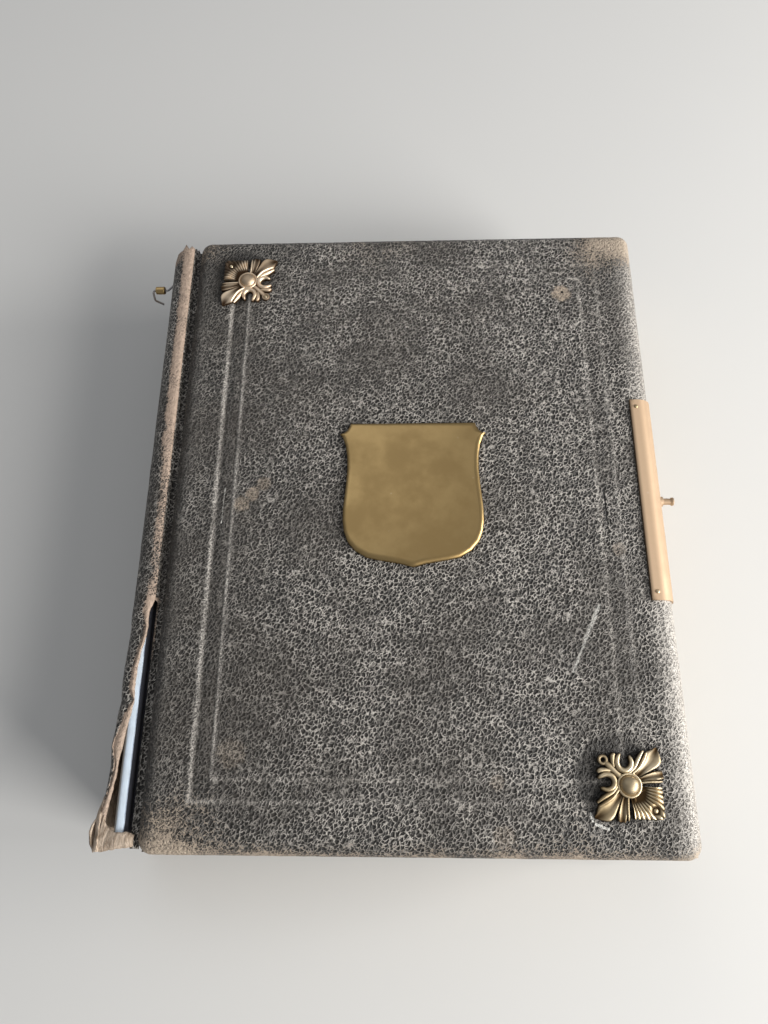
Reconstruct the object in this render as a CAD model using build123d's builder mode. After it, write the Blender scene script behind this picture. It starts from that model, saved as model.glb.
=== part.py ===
from build123d import *
from math import asin, cos, radians, sin, sqrt
import os

os.makedirs("parts", exist_ok=True)

# Covers, millimetres
cover_w = 213.5
cover_h = 284.0
cover_t = 8.5
album_t = 58.0
edge_r = 6.0
plan_r = 4.0
inner_edge_r = 0.6
leather_t = 1.0
turn_in_t = 0.7
turn_in_w = 14.0
half_w = cover_w / 2
front_in = album_t - cover_t
back_in = cover_t

# Blind-tooled double frame on the front leather
tool_insets = (19.3, 27.5)
tool_w = 0.9
tool_depth = 0.35

# Leaf block
fore_square = 5.0
end_square = 7.0
leaf_count = 20
leaf_gap_w = 0.3
leaf_gap_depth = 0.35
block_clear = 0.3
shoulder_x = -111.9
block_back_x = -116.4
shoulder_rise = 4.2
shoulder_lean = 0.2
shoulder_r = 0.8
leaf_r = 0.4
back_r = 2.2
lining_t = 0.7
lining_set = 0.6

# Spine leather
spine_t = 1.3
spine_x = -121.0
ridge_drop = 1.6
roll_r = 8.5
lip_x = -107.2
lip_z = 52.0
joint_foot_x = -109.3
joint_top_x = -110.3
joint_inner_foot_x = -110.7
joint_inner_top_x = -111.6
foot_r = 0.8
crest_r = 1.6
inner_foot_r = 1.6
inner_crest_r = 0.5
spine_head_y = 141.0
spine_tail_y = -141.5
tail_curl_z = 34.0
tail_curl_h = 17.5

# Clasp
plate_t = 0.7
plate_w = 9.9
plate_len = 92.3
plate_y = 2.2
plate_skirt = 7.5
plate_bevel = 0.35
plate_nail_in = 2.9
plate_nail_end = 3.5
pin_y = 1.2
pin_z = 52.8
pin_r = 1.4
pin_head_r = 1.85
pin_out = 5.6
pin_clear = 0.15
pin_dome = 0.4
pin_land = 1.0
pin_flare = 1.8
pin_bore = 6.0
collar_w = 0.7
collar_clear = 0.1
collar_lap = 0.3
collar_len = 1.5
pocket_x0 = 89.0
pocket_x1 = 105.0
pocket_w = 16.0
pocket_top = 55.6
bolt_top = 54.6
bolt_bottom = 51.1
bolt_len = 7.0
bolt_w = 9.0
bolt_gap = 0.3
spring_t = 0.4
spring_w = 2.4
spring_half = 5.5
spring_gap = 0.2
spring_toe = (0.1, 0.6)
slot_w = 4.0
slot_clear = 1.0
tongue_w = 12.0
tongue_t = 0.8
tongue_x = 103.8
tongue_ease = 0.4
tongue_lap = 0.2
tongue_back = 1.0
tongue_drop = 0.4
hook_reach = 1.6
hook_slope = 0.9
hook_t = 1.3

# Brass ornaments
mount_x = 80.5
mount_y = 115.6
corner_turn = -45.0
shield_x = -0.5
shield_t = 2.0
nail_r = 0.5
nail_head_r = 0.95
nail_dome = 0.6
nail_len = 5.5
cut_over = 1.0
eyelet_u = -13.0
eyelet_r = 1.8
shell_nail_u = 12.6
shell_seat_r = 1.2


def slab(inset, z_in, z_out, r_out, r_in):
    """A cover-shaped slab with its outer edges rounded and its inner edges eased."""
    with BuildPart() as blank:
        with BuildSketch(Plane.XY.offset(z_in)):
            RectangleRounded(cover_w - 2 * inset, cover_h - 2 * inset, plan_r - inset)
        extrude(amount=z_out - z_in)
        outer = blank.faces().filter_by(Axis.Z).sort_by(lambda f: abs(f.center().Z - z_out))[0]
        fillet(outer.edges(), r_out)
        if r_in > 0:
            inner = blank.faces().filter_by(Axis.Z).sort_by(lambda f: abs(f.center().Z - z_in))[0]
            fillet(inner.edges(), r_in)
    return blank.part


def pastedown_sheet(z_in, up):
    """The lining paper inside a cover, from the joint to the leather's turn-ins."""
    with BuildPart() as sheet:
        with BuildSketch(Plane.XY.offset(z_in)):
            with Locations(((leather_t - turn_in_w) / 2, 0)):
                Rectangle(cover_w - leather_t - turn_in_w, cover_h - 2 * turn_in_w)
        extrude(amount=turn_in_t if up else -turn_in_t)
    return sheet.part


def cap_mid(r, h):
    """The point half way along a spherical cap's arc, from its rim radius and its rise."""
    ball = (r * r + h * h) / (2 * h)
    half = asin(r / ball) / 2
    return (ball * sin(half), h - ball + ball * cos(half))


def nail(seat, shank):
    """A small domed nail with its head's underside on the seat plane and its shank behind it."""
    with BuildPart() as one:
        with BuildSketch(Plane(origin=seat.origin, x_dir=seat.x_dir, z_dir=-seat.y_dir)):
            with BuildLine():
                Polyline((0, -shank), (nail_r, -shank), (nail_r, 0), (nail_head_r, 0))
                ThreePointArc((nail_head_r, 0), cap_mid(nail_head_r, nail_dome), (0, nail_dome))
                Line((0, nail_dome), (0, -shank))
            make_face()
        revolve(axis=Axis(seat.origin, seat.z_dir))
    return one.part


def seat_up(x, y, z):
    """A nail seat that faces up at a point of the cover."""
    return Plane(origin=(x, y, z), x_dir=(1, 0, 0), z_dir=(0, 0, 1))


def mount_angle(side):
    """Which way a corner mount's own axis points, towards its corner of the cover."""
    return radians(corner_turn if side > 0 else corner_turn + 180.0)


def mount_point(side, u, w=0.0):
    """Where a point of a corner mount's own axes falls on the cover."""
    a = mount_angle(side)
    return (side * mount_x + u * cos(a) - w * sin(a), -side * mount_y + u * sin(a) + w * cos(a))


# Shell flutes, leaves and scrolls of a corner mount, in its own axes: u towards the cover's corner
shell_side = ((3.8, 1.6), (9.6, 7.2), (14.2, 4.9), (16.8, 0.0))
frond_out = ((1.0, 2.6), (1.6, 8.0), (2.6, 12.0), (1.2, 14.4), (-1.3, 17.5))
frond_in = ((-1.3, 17.5), (-4.6, 13.6), (-5.0, 10.5), (-3.5, 7.4), (-1.8, 2.6))
leaf_two = ((1.2, 2.2), (4.4, 8.6), (4.8, 13.0), (2.6, 9.0), (0.3, 2.4))
leaf_three = ((2.2, 1.6), (6.4, 6.8), (7.6, 10.0), (5.0, 7.4), (1.2, 2.2))
scroll_c = (-6.2, 4.5)
scroll_r = 3.5
scroll_eye_r = 1.9
scroll_mouth = 2.4
scroll_mouth_off = 1.8
curl_c = (-10.7, 2.4)
curl_r = 1.7
curl_eye_r = 0.7
frond_ribs = (((-0.4, 3.0), (-1.5, 14.6)), ((-0.4, -3.0), (-1.5, -14.6)))
shell_flutes = (-36, -24, -12, 0, 12, 24, 36)
flute_spread = 36
flute_root_r = 0.4
flute_end_r = 0.95
flute_start_u = 3.2
flute_start_r = 2.2
flute_z = 1.0
flute_len = 10.6
flute_fall = 3.2
shell_h = 1.1
frond_h = 1.3
rib_h = 1.1
rib_root_r = 1.05
rib_tip_r = 0.5
leaf_h = 1.5
scroll_h = 1.6
curl_h = 1.3
stem_u = -8.2
stem_len = 8.4
stem_w = 1.8
stem_h = 1.0
boss_r = 3.6
boss_h = 4.0
ring_r = 4.6
ring_h = 1.5
ring_round = 0.5
nail_seat_h = 0.9
seat_cut_h = 4.0
nail_hole_h = 6.0


def corner_mount(side):
    """A cast corner mount: boss and ring, fluted shell, leaf fronds, paired scrolls and an eyelet."""
    cx, cy = mount_point(side, 0)
    a = mount_angle(side)
    base = Plane(origin=(cx, cy, album_t), x_dir=(cos(a), sin(a), 0), z_dir=(0, 0, 1))
    with BuildPart() as m:
        # Shell plate
        with BuildSketch(base):
            with BuildLine():
                Line(shell_side[0], shell_side[1])
                Spline(shell_side[1:], tangents=((0.9, 0.4), (0, -1)))
                Line((shell_side[0][0], -shell_side[0][1]), shell_side[0])
                mirror(about=Plane.XZ)
            make_face()
        extrude(amount=shell_h)
        # Leaf fronds and side leaves
        with BuildSketch(base):
            with BuildLine():
                Spline(frond_out)
                Spline(frond_in)
                Line(frond_in[-1], frond_out[0])
            make_face()
            mirror(about=Plane.XZ)
        extrude(amount=frond_h)
        for leaf in (leaf_two, leaf_three):
            with BuildSketch(base):
                with BuildLine():
                    Spline(leaf[:3])
                    Spline(leaf[2:])
                    Line(leaf[-1], leaf[0])
                make_face()
                mirror(about=Plane.XZ)
            extrude(amount=leaf_h)
        # Midribs of the fronds
        for root, tip in frond_ribs:
            start = base.from_local_coords(Vector(*root, rib_h))
            end = base.from_local_coords(Vector(*tip, rib_h))
            rib = Plane(origin=start, x_dir=base.z_dir, z_dir=end - start)
            with BuildSketch(rib):
                Circle(rib_root_r)
            with BuildSketch(rib.offset((end - start).length)):
                Circle(rib_tip_r)
            loft()
        # Paired scrolls, open away from the boss, and the small curls beside the eyelet
        with BuildSketch(base):
            for s in (1, -1):
                with Locations((scroll_c[0], s * scroll_c[1])):
                    Circle(scroll_r)
                    Circle(scroll_eye_r, mode=Mode.SUBTRACT)
                mouth = (scroll_c[0] - scroll_mouth_off, s * (scroll_c[1] + scroll_mouth_off), 0)
                with Locations(Location(mouth, (0, 0, s * 45))):
                    Rectangle(scroll_mouth, scroll_mouth, mode=Mode.SUBTRACT)
        extrude(amount=scroll_h)
        with BuildSketch(base):
            for s in (1, -1):
                with Locations((curl_c[0], s * curl_c[1])):
                    Circle(curl_r)
                    Circle(curl_eye_r, mode=Mode.SUBTRACT)
        extrude(amount=curl_h)
        # Stem and eyelet
        with BuildSketch(base):
            with Locations((stem_u, 0)):
                Rectangle(stem_len, stem_w)
            with Locations((eyelet_u, 0)):
                Circle(eyelet_r)
        extrude(amount=stem_h)
        # Shell flutes, half-round ribs that spread from the boss
        for turn in shell_flutes:
            length = flute_len - flute_fall * (abs(turn) / flute_spread) ** 2
            t = radians(turn)
            root = Vector(flute_start_u + flute_start_r * cos(t), flute_start_r * sin(t), flute_z)
            start = base.from_local_coords(root)
            out = base.x_dir * cos(t) + base.y_dir * sin(t)
            rib = Plane(origin=start, x_dir=base.z_dir, z_dir=out)
            with BuildSketch(rib):
                Circle(flute_root_r)
            with BuildSketch(rib.offset(length)):
                Circle(flute_end_r)
            loft()
        # Boss and its ring
        with BuildSketch(Plane(origin=base.origin, x_dir=base.x_dir, z_dir=-base.y_dir)):
            with BuildLine():
                Line((0, 0), (ring_r, 0))
                Line((ring_r, 0), (ring_r, ring_h))
                ring_top = ((ring_r + boss_r) / 2, ring_h + ring_round)
                ThreePointArc((ring_r, ring_h), ring_top, (boss_r, ring_h))
                mid_r, mid_h = cap_mid(boss_r, boss_h - ring_h)
                ThreePointArc((boss_r, ring_h), (mid_r, ring_h + mid_h), (0, boss_h))
                Line((0, boss_h), (0, 0))
            make_face()
        revolve(axis=Axis(base.origin, (0, 0, 1)))
        # Nail seats
        for u, r in ((eyelet_u, nail_head_r), (shell_nail_u, shell_seat_r)):
            px, py = mount_point(side, u)
            with Locations((px, py, album_t + nail_seat_h)):
                Cylinder(r, seat_cut_h, align=(Align.CENTER, Align.CENTER, Align.MIN), mode=Mode.SUBTRACT)
            with Locations((px, py, album_t)):
                Cylinder(nail_r, nail_hole_h, mode=Mode.SUBTRACT)
    return m.part


# Front cover
front_nails = [mount_point(-1, eyelet_u), mount_point(-1, shell_nail_u), mount_point(1, shell_nail_u)]
empty_holes = [mount_point(1, eyelet_u), (mount_x + eyelet_u / sqrt(2), mount_y + eyelet_u / sqrt(2))]
plate_nail_y = [plate_y + s * (plate_len / 2 - plate_nail_end) for s in (1, -1)]
plate_nails = [(half_w - plate_w + plate_nail_in, y) for y in plate_nail_y]

with BuildPart() as front_board:
    add(slab(leather_t, front_in + turn_in_t, album_t - leather_t, edge_r - leather_t, 0))
    # Pocket for the clasp's bolt and spring
    with BuildSketch(Plane.XY.offset(front_in + turn_in_t)):
        with Locations(((pocket_x0 + pocket_x1) / 2, pin_y)):
            Rectangle(pocket_x1 - pocket_x0, pocket_w)
    extrude(amount=pocket_top - front_in - turn_in_t, mode=Mode.SUBTRACT)
    with BuildSketch(Plane.YZ.offset(pocket_x1 - cut_over)):
        with Locations((pin_y, pin_z)):
            Circle(pin_r + pin_clear)
    extrude(amount=pin_bore, mode=Mode.SUBTRACT)
    with Locations(*[(x, y, album_t) for x, y in front_nails + empty_holes + plate_nails]):
        Cylinder(nail_r, 2 * nail_len, mode=Mode.SUBTRACT)
front_board.part.label = "front_board"
export_step(front_board.part, "parts/front_board.step")

with BuildPart() as front_leather:
    add(slab(0, front_in, album_t, edge_r, inner_edge_r))
    add(
        slab(leather_t, front_in + turn_in_t, album_t - leather_t, edge_r - leather_t, 0),
        mode=Mode.SUBTRACT,
    )
    add(pastedown_sheet(front_in, True), mode=Mode.SUBTRACT)
    # Tooled double frame
    for inset in tool_insets:
        with BuildSketch(Plane.XY.offset(album_t)):
            Rectangle(cover_w - 2 * inset + tool_w, cover_h - 2 * inset + tool_w)
            Rectangle(cover_w - 2 * inset - tool_w, cover_h - 2 * inset - tool_w, mode=Mode.SUBTRACT)
        extrude(amount=-tool_depth, mode=Mode.SUBTRACT)
    # Hook slot under the bolt, the button's hole and the nail holes
    with BuildSketch(Plane.XY.offset(front_in)):
        with Locations((pocket_x1 - slot_w / 2, pin_y)):
            Rectangle(slot_w, tongue_w + 2 * slot_clear)
    extrude(amount=turn_in_t, mode=Mode.SUBTRACT)
    with BuildSketch(Plane.YZ.offset(pocket_x1)):
        with Locations((pin_y, pin_z)):
            Circle(pin_r + pin_clear + collar_w + collar_clear)
    extrude(amount=pin_bore, mode=Mode.SUBTRACT)
    with Locations(*[(x, y, album_t) for x, y in front_nails + empty_holes + plate_nails]):
        Cylinder(nail_r, 2 * nail_len, mode=Mode.SUBTRACT)
front_leather.part.label = "front_leather"
export_step(front_leather.part, "parts/front_leather.step")

with BuildPart() as front_pastedown:
    add(pastedown_sheet(front_in, True))
front_pastedown.part.label = "front_pastedown"
export_step(front_pastedown.part, "parts/front_pastedown.step")

# Shield plate: flat field, bevelled rim, cusped ears and an ogee foot
shield_top = 37.4
shield_foot = -29.8
shield_edge_h = 0.6
rim_share = 0.925
rim_top = 2.0
rim_foot = 2.9
ear_in_x = 28.0
ear_mid = (29.4, 34.0)
foot_mid = (10.0, -27.5)
shield_side = (
    (32.6, 32.3),
    (29.9, 26.5),
    (28.9, 15.0),
    (29.9, 2.0),
    (30.4, -9.0),
    (28.0, -18.6),
    (19.7, -25.6),
)


def shield_face(z, wide, top, foot):
    """The shield's outline at a height, drawn in to a given width, top edge and foot."""
    rise = (top - foot) / (shield_top - shield_foot)

    def at(px, py):
        return (px * wide, foot + (py - shield_foot) * rise)

    with BuildSketch(Plane(origin=(shield_x, 0, z), x_dir=(1, 0, 0), z_dir=(0, 0, 1))) as face:
        with BuildLine():
            Line(at(0, shield_top), at(ear_in_x, shield_top))
            ThreePointArc(at(ear_in_x, shield_top), at(*ear_mid), at(*shield_side[0]))
            Spline(*[at(px, py) for px, py in shield_side], tangents=((-0.75, -0.66), (-0.94, -0.34)))
            ThreePointArc(at(*shield_side[-1]), at(*foot_mid), at(0, shield_foot))
            mirror(about=Plane.YZ)
        make_face()
    return face.sketch


with BuildPart() as shield_plate:
    add(shield_face(album_t, 1.0, shield_top, shield_foot))
    extrude(amount=shield_edge_h)
    add(shield_face(album_t + shield_edge_h, 1.0, shield_top, shield_foot))
    add(shield_face(album_t + shield_t, rim_share, shield_top - rim_top, shield_foot + rim_foot))
    loft(ruled=True)
shield_plate.part.label = "shield_plate"
export_step(shield_plate.part, "parts/shield_plate.step")

# Corner mounts
with BuildPart() as corner_mount_upper_left:
    add(corner_mount(-1))
corner_mount_upper_left.part.label = "corner_mount_upper_left"
export_step(corner_mount_upper_left.part, "parts/corner_mount_upper_left.step")

with BuildPart() as corner_mount_lower_right:
    add(corner_mount(1))
corner_mount_lower_right.part.label = "corner_mount_lower_right"
export_step(corner_mount_lower_right.part, "parts/corner_mount_lower_right.step")

with BuildPart() as mount_nails:
    for x, y in front_nails:
        add(nail(seat_up(x, y, album_t + nail_seat_h), nail_len + nail_seat_h))
mount_nails.part.label = "mount_nails"
export_step(mount_nails.part, "parts/mount_nails.step")

# Clasp plate bent over the front cover's fore edge, with the collar that guides the button
strip_x0 = half_w - plate_w
bend_x = half_w - edge_r
bend_z = album_t - edge_r
with BuildPart() as clasp_plate:
    with BuildSketch(Plane.XZ.offset(-plate_y)):
        with BuildLine():
            Polyline(
                (strip_x0, album_t),
                (strip_x0, album_t + plate_t - plate_bevel),
                (strip_x0 + plate_bevel, album_t + plate_t),
                (bend_x, album_t + plate_t),
            )
            CenterArc((bend_x, bend_z), edge_r + plate_t, 0, 90)
            Polyline(
                (half_w + plate_t, bend_z),
                (half_w + plate_t, album_t - plate_skirt),
                (half_w, album_t - plate_skirt),
                (half_w, bend_z),
            )
            CenterArc((bend_x, bend_z), edge_r, 0, 90)
            Line((bend_x, album_t), (strip_x0, album_t))
        make_face()
    extrude(amount=plate_len / 2, both=True)
    with BuildSketch(Plane.YZ.offset(half_w - collar_lap)):
        with Locations((pin_y, pin_z)):
            Circle(pin_r + pin_clear + collar_w)
    extrude(amount=collar_len)
    with BuildSketch(Plane.YZ.offset(half_w - cut_over)):
        with Locations((pin_y, pin_z)):
            Circle(pin_r + pin_clear)
    extrude(amount=pin_bore, mode=Mode.SUBTRACT)
    with Locations(*[(x, y, album_t) for x, y in plate_nails]):
        Cylinder(nail_r, 2 * (plate_t + cut_over), mode=Mode.SUBTRACT)
clasp_plate.part.label = "clasp_plate"
export_step(clasp_plate.part, "parts/clasp_plate.step")

with BuildPart() as clasp_plate_nails:
    for x, y in plate_nails:
        add(nail(seat_up(x, y, album_t + plate_t), nail_len + plate_t))
clasp_plate_nails.part.label = "clasp_plate_nails"
export_step(clasp_plate_nails.part, "parts/clasp_plate_nails.step")

# Clasp button: flared head, shank and the bolt on its inner end
pin_end = half_w + plate_t + pin_out
bolt_x1 = pocket_x1 - bolt_gap
bolt_x0 = bolt_x1 - bolt_len
with BuildPart() as clasp_button:
    with BuildSketch(Plane(origin=(0, pin_y, pin_z), x_dir=(1, 0, 0), z_dir=(0, -1, 0))):
        with BuildLine():
            Line((bolt_x1, 0), (pin_end, 0))
            mid_r, mid_h = cap_mid(pin_head_r, pin_dome)
            rim = (pin_end - pin_dome, pin_head_r)
            ThreePointArc((pin_end, 0), (pin_end - pin_dome + mid_h, mid_r), rim)
            Polyline(
                rim,
                (pin_end - pin_land, pin_head_r),
                (pin_end - pin_flare, pin_r),
                (bolt_x1, pin_r),
                (bolt_x1, 0),
            )
        make_face()
    revolve(axis=Axis((0, pin_y, pin_z), (1, 0, 0)))
    with BuildSketch(Plane.XY.offset(bolt_bottom)):
        with Locations(((bolt_x0 + bolt_x1) / 2, pin_y)):
            Rectangle(bolt_len, bolt_w)
    extrude(amount=bolt_top - bolt_bottom)
clasp_button.part.label = "clasp_button"
export_step(clasp_button.part, "parts/clasp_button.step")

# Bow spring behind the bolt
with BuildPart() as clasp_spring:
    with BuildSketch(Plane.XY.offset(pin_z - spring_w / 2)):
        with BuildLine():
            low = (pocket_x0 + spring_gap, pin_y - spring_half)
            crown = (bolt_x0 - spring_gap, pin_y)
            high = (pocket_x0 + spring_gap, pin_y + spring_half)
            low_toe = (low[0] + spring_toe[0], low[1] + spring_toe[1])
            high_toe = (high[0] + spring_toe[0], high[1] - spring_toe[1])
            ThreePointArc(low, crown, high)
            Line(high, high_toe)
            ThreePointArc(high_toe, (crown[0] - spring_t, pin_y), low_toe)
            Line(low_toe, low)
        make_face()
    extrude(amount=spring_w)
clasp_spring.part.label = "clasp_spring"
export_step(clasp_spring.part, "parts/clasp_spring.step")

# Leaf block with backed shoulders and the gaps between its card leaves
block_x1 = half_w - fore_square
block_lo = back_in + block_clear
block_hi = front_in - block_clear
block_len = cover_h - 2 * end_square
with BuildPart() as page_block:
    with BuildSketch(Plane.XZ):
        with BuildLine():
            FilletPolyline(
                (block_x1, block_lo),
                (block_x1, block_hi),
                (shoulder_x + shoulder_lean, block_hi),
                (shoulder_x, block_hi + shoulder_rise),
                (block_back_x, block_hi + shoulder_rise),
                (block_back_x, block_lo - shoulder_rise),
                (shoulder_x, block_lo - shoulder_rise),
                (shoulder_x + shoulder_lean, block_lo),
                radius=(leaf_r, leaf_r, shoulder_r, back_r, back_r, shoulder_r, leaf_r, leaf_r),
                close=True,
            )
        make_face()
    extrude(amount=block_len / 2, both=True)
    leaf_pitch = (block_hi - block_lo) / leaf_count
    for i in range(1, leaf_count):
        with BuildSketch(Plane.XY.offset(block_lo + i * leaf_pitch - leaf_gap_w / 2)):
            with Locations(((block_x1 + shoulder_x) / 2, 0)):
                Rectangle(block_x1 - shoulder_x, block_len)
            with Locations(((block_x1 - leaf_gap_depth + shoulder_x) / 2, 0)):
                Rectangle(
                    block_x1 - leaf_gap_depth - shoulder_x,
                    block_len - 2 * leaf_gap_depth,
                    mode=Mode.SUBTRACT,
                )
        extrude(amount=leaf_gap_w, mode=Mode.SUBTRACT)
page_block.part.label = "page_block"
export_step(page_block.part, "parts/page_block.step")

# Pale paper lining over the block's back and shoulders
sh_hi = block_hi + shoulder_rise
sh_lo = block_lo - shoulder_rise
lining_x = shoulder_x - lining_set
with BuildPart() as spine_lining:
    with BuildSketch(Plane.XZ):
        with BuildLine():
            FilletPolyline(
                (lining_x, sh_hi + lining_t),
                (block_back_x - lining_t, sh_hi + lining_t),
                (block_back_x - lining_t, sh_lo - lining_t),
                (lining_x, sh_lo - lining_t),
                radius=back_r + lining_t,
            )
            Line((lining_x, sh_lo - lining_t), (lining_x, sh_lo))
            FilletPolyline(
                (lining_x, sh_lo),
                (block_back_x, sh_lo),
                (block_back_x, sh_hi),
                (lining_x, sh_hi),
                radius=back_r,
            )
            Line((lining_x, sh_hi), (lining_x, sh_hi + lining_t))
        make_face()
    extrude(amount=block_len / 2, both=True)
    add(page_block.part, mode=Mode.SUBTRACT)
spine_lining.part.label = "spine_lining"
export_step(spine_lining.part, "parts/spine_lining.step")

# Bent wire and brass barrel beside the spine, near the head
barrel_y = 119.0
barrel_z = 48.0
barrel_r = 1.9
barrel_x0 = -129.8
barrel_x1 = -125.2
barrel_ease = 0.3
wire_r = 0.5
wire_bends = (
    (-120.2, 121.6, 49.4),
    (-123.6, barrel_y, barrel_z),
    (-131.6, barrel_y, barrel_z),
    (-130.4, 114.4, 46.2),
    (-126.0, 112.6, 45.4),
)
wire_bend_r = (1.2, 1.2, 1.6)
with BuildPart() as spine_wire:
    with BuildLine() as wire_path:
        FilletPolyline(*wire_bends, radius=wire_bend_r)
    with BuildSketch(Plane(origin=wire_path.line @ 0, z_dir=wire_path.line % 0)):
        Circle(wire_r)
    sweep()
spine_wire.part.label = "spine_wire"
export_step(spine_wire.part, "parts/spine_wire.step")

with BuildPart() as spine_barrel:
    with BuildSketch(Plane.YZ.offset(barrel_x0)):
        with Locations((barrel_y, barrel_z)):
            Circle(barrel_r)
    extrude(amount=barrel_x1 - barrel_x0)
    chamfer(spine_barrel.edges().filter_by(GeomType.CIRCLE), barrel_ease)
    with BuildSketch(Plane.YZ.offset(barrel_x0 - cut_over)):
        with Locations((barrel_y, barrel_z)):
            Circle(wire_r)
    extrude(amount=barrel_x1 - barrel_x0 + 2 * cut_over, mode=Mode.SUBTRACT)
spine_barrel.part.label = "spine_barrel"
export_step(spine_barrel.part, "parts/spine_barrel.step")

# Leather spine, split along its front ridge towards the tail
ridge_z = album_t - ridge_drop
tear_edge = (
    (-110.6, -42.5),
    (-112.8, -46.5),
    (-112.2, -53.0),
    (-112.4, -58.0),
    (-114.3, -68.0),
    (-114.2, -76.0),
    (-113.6, -84.5),
    (-116.4, -92.5),
    (-117.2, -101.0),
    (-118.4, -105.5),
    (-118.0, -114.0),
    (-119.4, -124.0),
    (-119.6, -131.0),
    (-117.0, -134.0),
    (-108.7, -134.8),
    (-108.7, -58.0),
    (-109.0, -47.0),
)
tail_nick = ((-121.5, -141.6), (-114.6, -139.8), (-108.0, -139.3), (-106.5, -142.5), (-121.5, -142.5))
tail_curl = (
    (-120.4, -125.0),
    (-124.0, -129.4),
    (-125.6, -135.0),
    (-124.4, -141.8),
    (-123.2, -141.2),
    (-124.2, -135.2),
    (-122.8, -130.2),
    (-119.9, -126.8),
)
with BuildPart() as spine_leather:
    with BuildSketch(Plane.XZ.offset(-spine_head_y)):
        with BuildLine():
            FilletPolyline(
                (lip_x, lip_z),
                (joint_foot_x, lip_z),
                (joint_top_x, ridge_z),
                (spine_x, ridge_z),
                (spine_x, album_t - ridge_z),
                (joint_top_x, album_t - ridge_z),
                (joint_foot_x, album_t - lip_z),
                (lip_x, album_t - lip_z),
                radius=(foot_r, crest_r, roll_r, roll_r, crest_r, foot_r),
            )
            Line((lip_x, album_t - lip_z), (lip_x, album_t - lip_z + spine_t))
            FilletPolyline(
                (lip_x, album_t - lip_z + spine_t),
                (joint_inner_foot_x, album_t - lip_z + spine_t),
                (joint_inner_top_x, album_t - ridge_z + spine_t),
                (spine_x + spine_t, album_t - ridge_z + spine_t),
                (spine_x + spine_t, ridge_z - spine_t),
                (joint_inner_top_x, ridge_z - spine_t),
                (joint_inner_foot_x, lip_z - spine_t),
                (lip_x, lip_z - spine_t),
                radius=(
                    inner_foot_r,
                    inner_crest_r,
                    roll_r - spine_t,
                    roll_r - spine_t,
                    inner_crest_r,
                    inner_foot_r,
                ),
            )
            Line((lip_x, lip_z - spine_t), (lip_x, lip_z))
        make_face()
    extrude(amount=spine_head_y - spine_tail_y)
    with BuildSketch(Plane.XY.offset(album_t / 2)):
        with BuildLine():
            Polyline(tear_edge, close=True)
        make_face()
        with BuildLine():
            Polyline(tail_nick, close=True)
        make_face()
    extrude(amount=album_t, mode=Mode.SUBTRACT)
    with BuildSketch(Plane.XY.offset(tail_curl_z)):
        with BuildLine():
            Polyline(tail_curl, close=True)
        make_face()
    extrude(amount=tail_curl_h)
    add(spine_wire.part, mode=Mode.SUBTRACT)
spine_leather.part.label = "spine_leather"
export_step(spine_leather.part, "parts/spine_leather.step")

# Back cover
catch_nail_z = 6.4
with BuildPart() as back_board:
    add(slab(leather_t, back_in - turn_in_t, leather_t, edge_r - leather_t, 0))
    for y in plate_nail_y:
        with BuildSketch(Plane.YZ.offset(half_w - nail_len)):
            with Locations((y, catch_nail_z)):
                Circle(nail_r)
        extrude(amount=nail_len + cut_over, mode=Mode.SUBTRACT)
back_board.part.label = "back_board"
export_step(back_board.part, "parts/back_board.step")

with BuildPart() as back_leather:
    add(slab(0, back_in, 0, edge_r, inner_edge_r))
    add(slab(leather_t, back_in - turn_in_t, leather_t, edge_r - leather_t, 0), mode=Mode.SUBTRACT)
    add(pastedown_sheet(back_in, False), mode=Mode.SUBTRACT)
    for y in plate_nail_y:
        with BuildSketch(Plane.YZ.offset(half_w - nail_len)):
            with Locations((y, catch_nail_z)):
                Circle(nail_r)
        extrude(amount=nail_len + cut_over, mode=Mode.SUBTRACT)
back_leather.part.label = "back_leather"
export_step(back_leather.part, "parts/back_leather.step")

with BuildPart() as back_pastedown:
    add(pastedown_sheet(back_in, False))
back_pastedown.part.label = "back_pastedown"
export_step(back_pastedown.part, "parts/back_pastedown.step")

# Catch plate over the back cover's inner fore edge, with the hooked tongue that stands up to the bolt
catch_foot_z = 4.2
catch_in_x = tongue_x - tongue_back
tongue_top = front_in - tongue_drop
hook_x = tongue_x - hook_reach
with BuildPart() as catch_plate:
    with BuildSketch(Plane.XZ.offset(-plate_y)):
        with BuildLine():
            Polyline(
                (half_w, catch_foot_z),
                (half_w + plate_t, catch_foot_z),
                (half_w + plate_t, back_in + plate_t),
                (catch_in_x, back_in + plate_t),
                (catch_in_x, back_in),
                (half_w, back_in),
                close=True,
            )
        make_face()
    extrude(amount=plate_len / 2, both=True)
    with BuildSketch(Plane.XZ.offset(-pin_y)):
        with BuildLine():
            Polyline(
                (tongue_x, back_in + tongue_lap),
                (tongue_x + tongue_t, back_in + tongue_lap),
                (tongue_x + tongue_t, tongue_top - tongue_ease),
                (tongue_x + tongue_t - tongue_ease, tongue_top),
                (hook_x + hook_slope, tongue_top),
                (hook_x, tongue_top - hook_slope),
                (hook_x, tongue_top - hook_t),
                (tongue_x, tongue_top - hook_t),
                close=True,
            )
        make_face()
    extrude(amount=tongue_w / 2, both=True)
    for y in plate_nail_y:
        with BuildSketch(Plane.YZ.offset(half_w - cut_over)):
            with Locations((y, catch_nail_z)):
                Circle(nail_r)
        extrude(amount=plate_t + 2 * cut_over, mode=Mode.SUBTRACT)
catch_plate.part.label = "catch_plate"
export_step(catch_plate.part, "parts/catch_plate.step")

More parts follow.
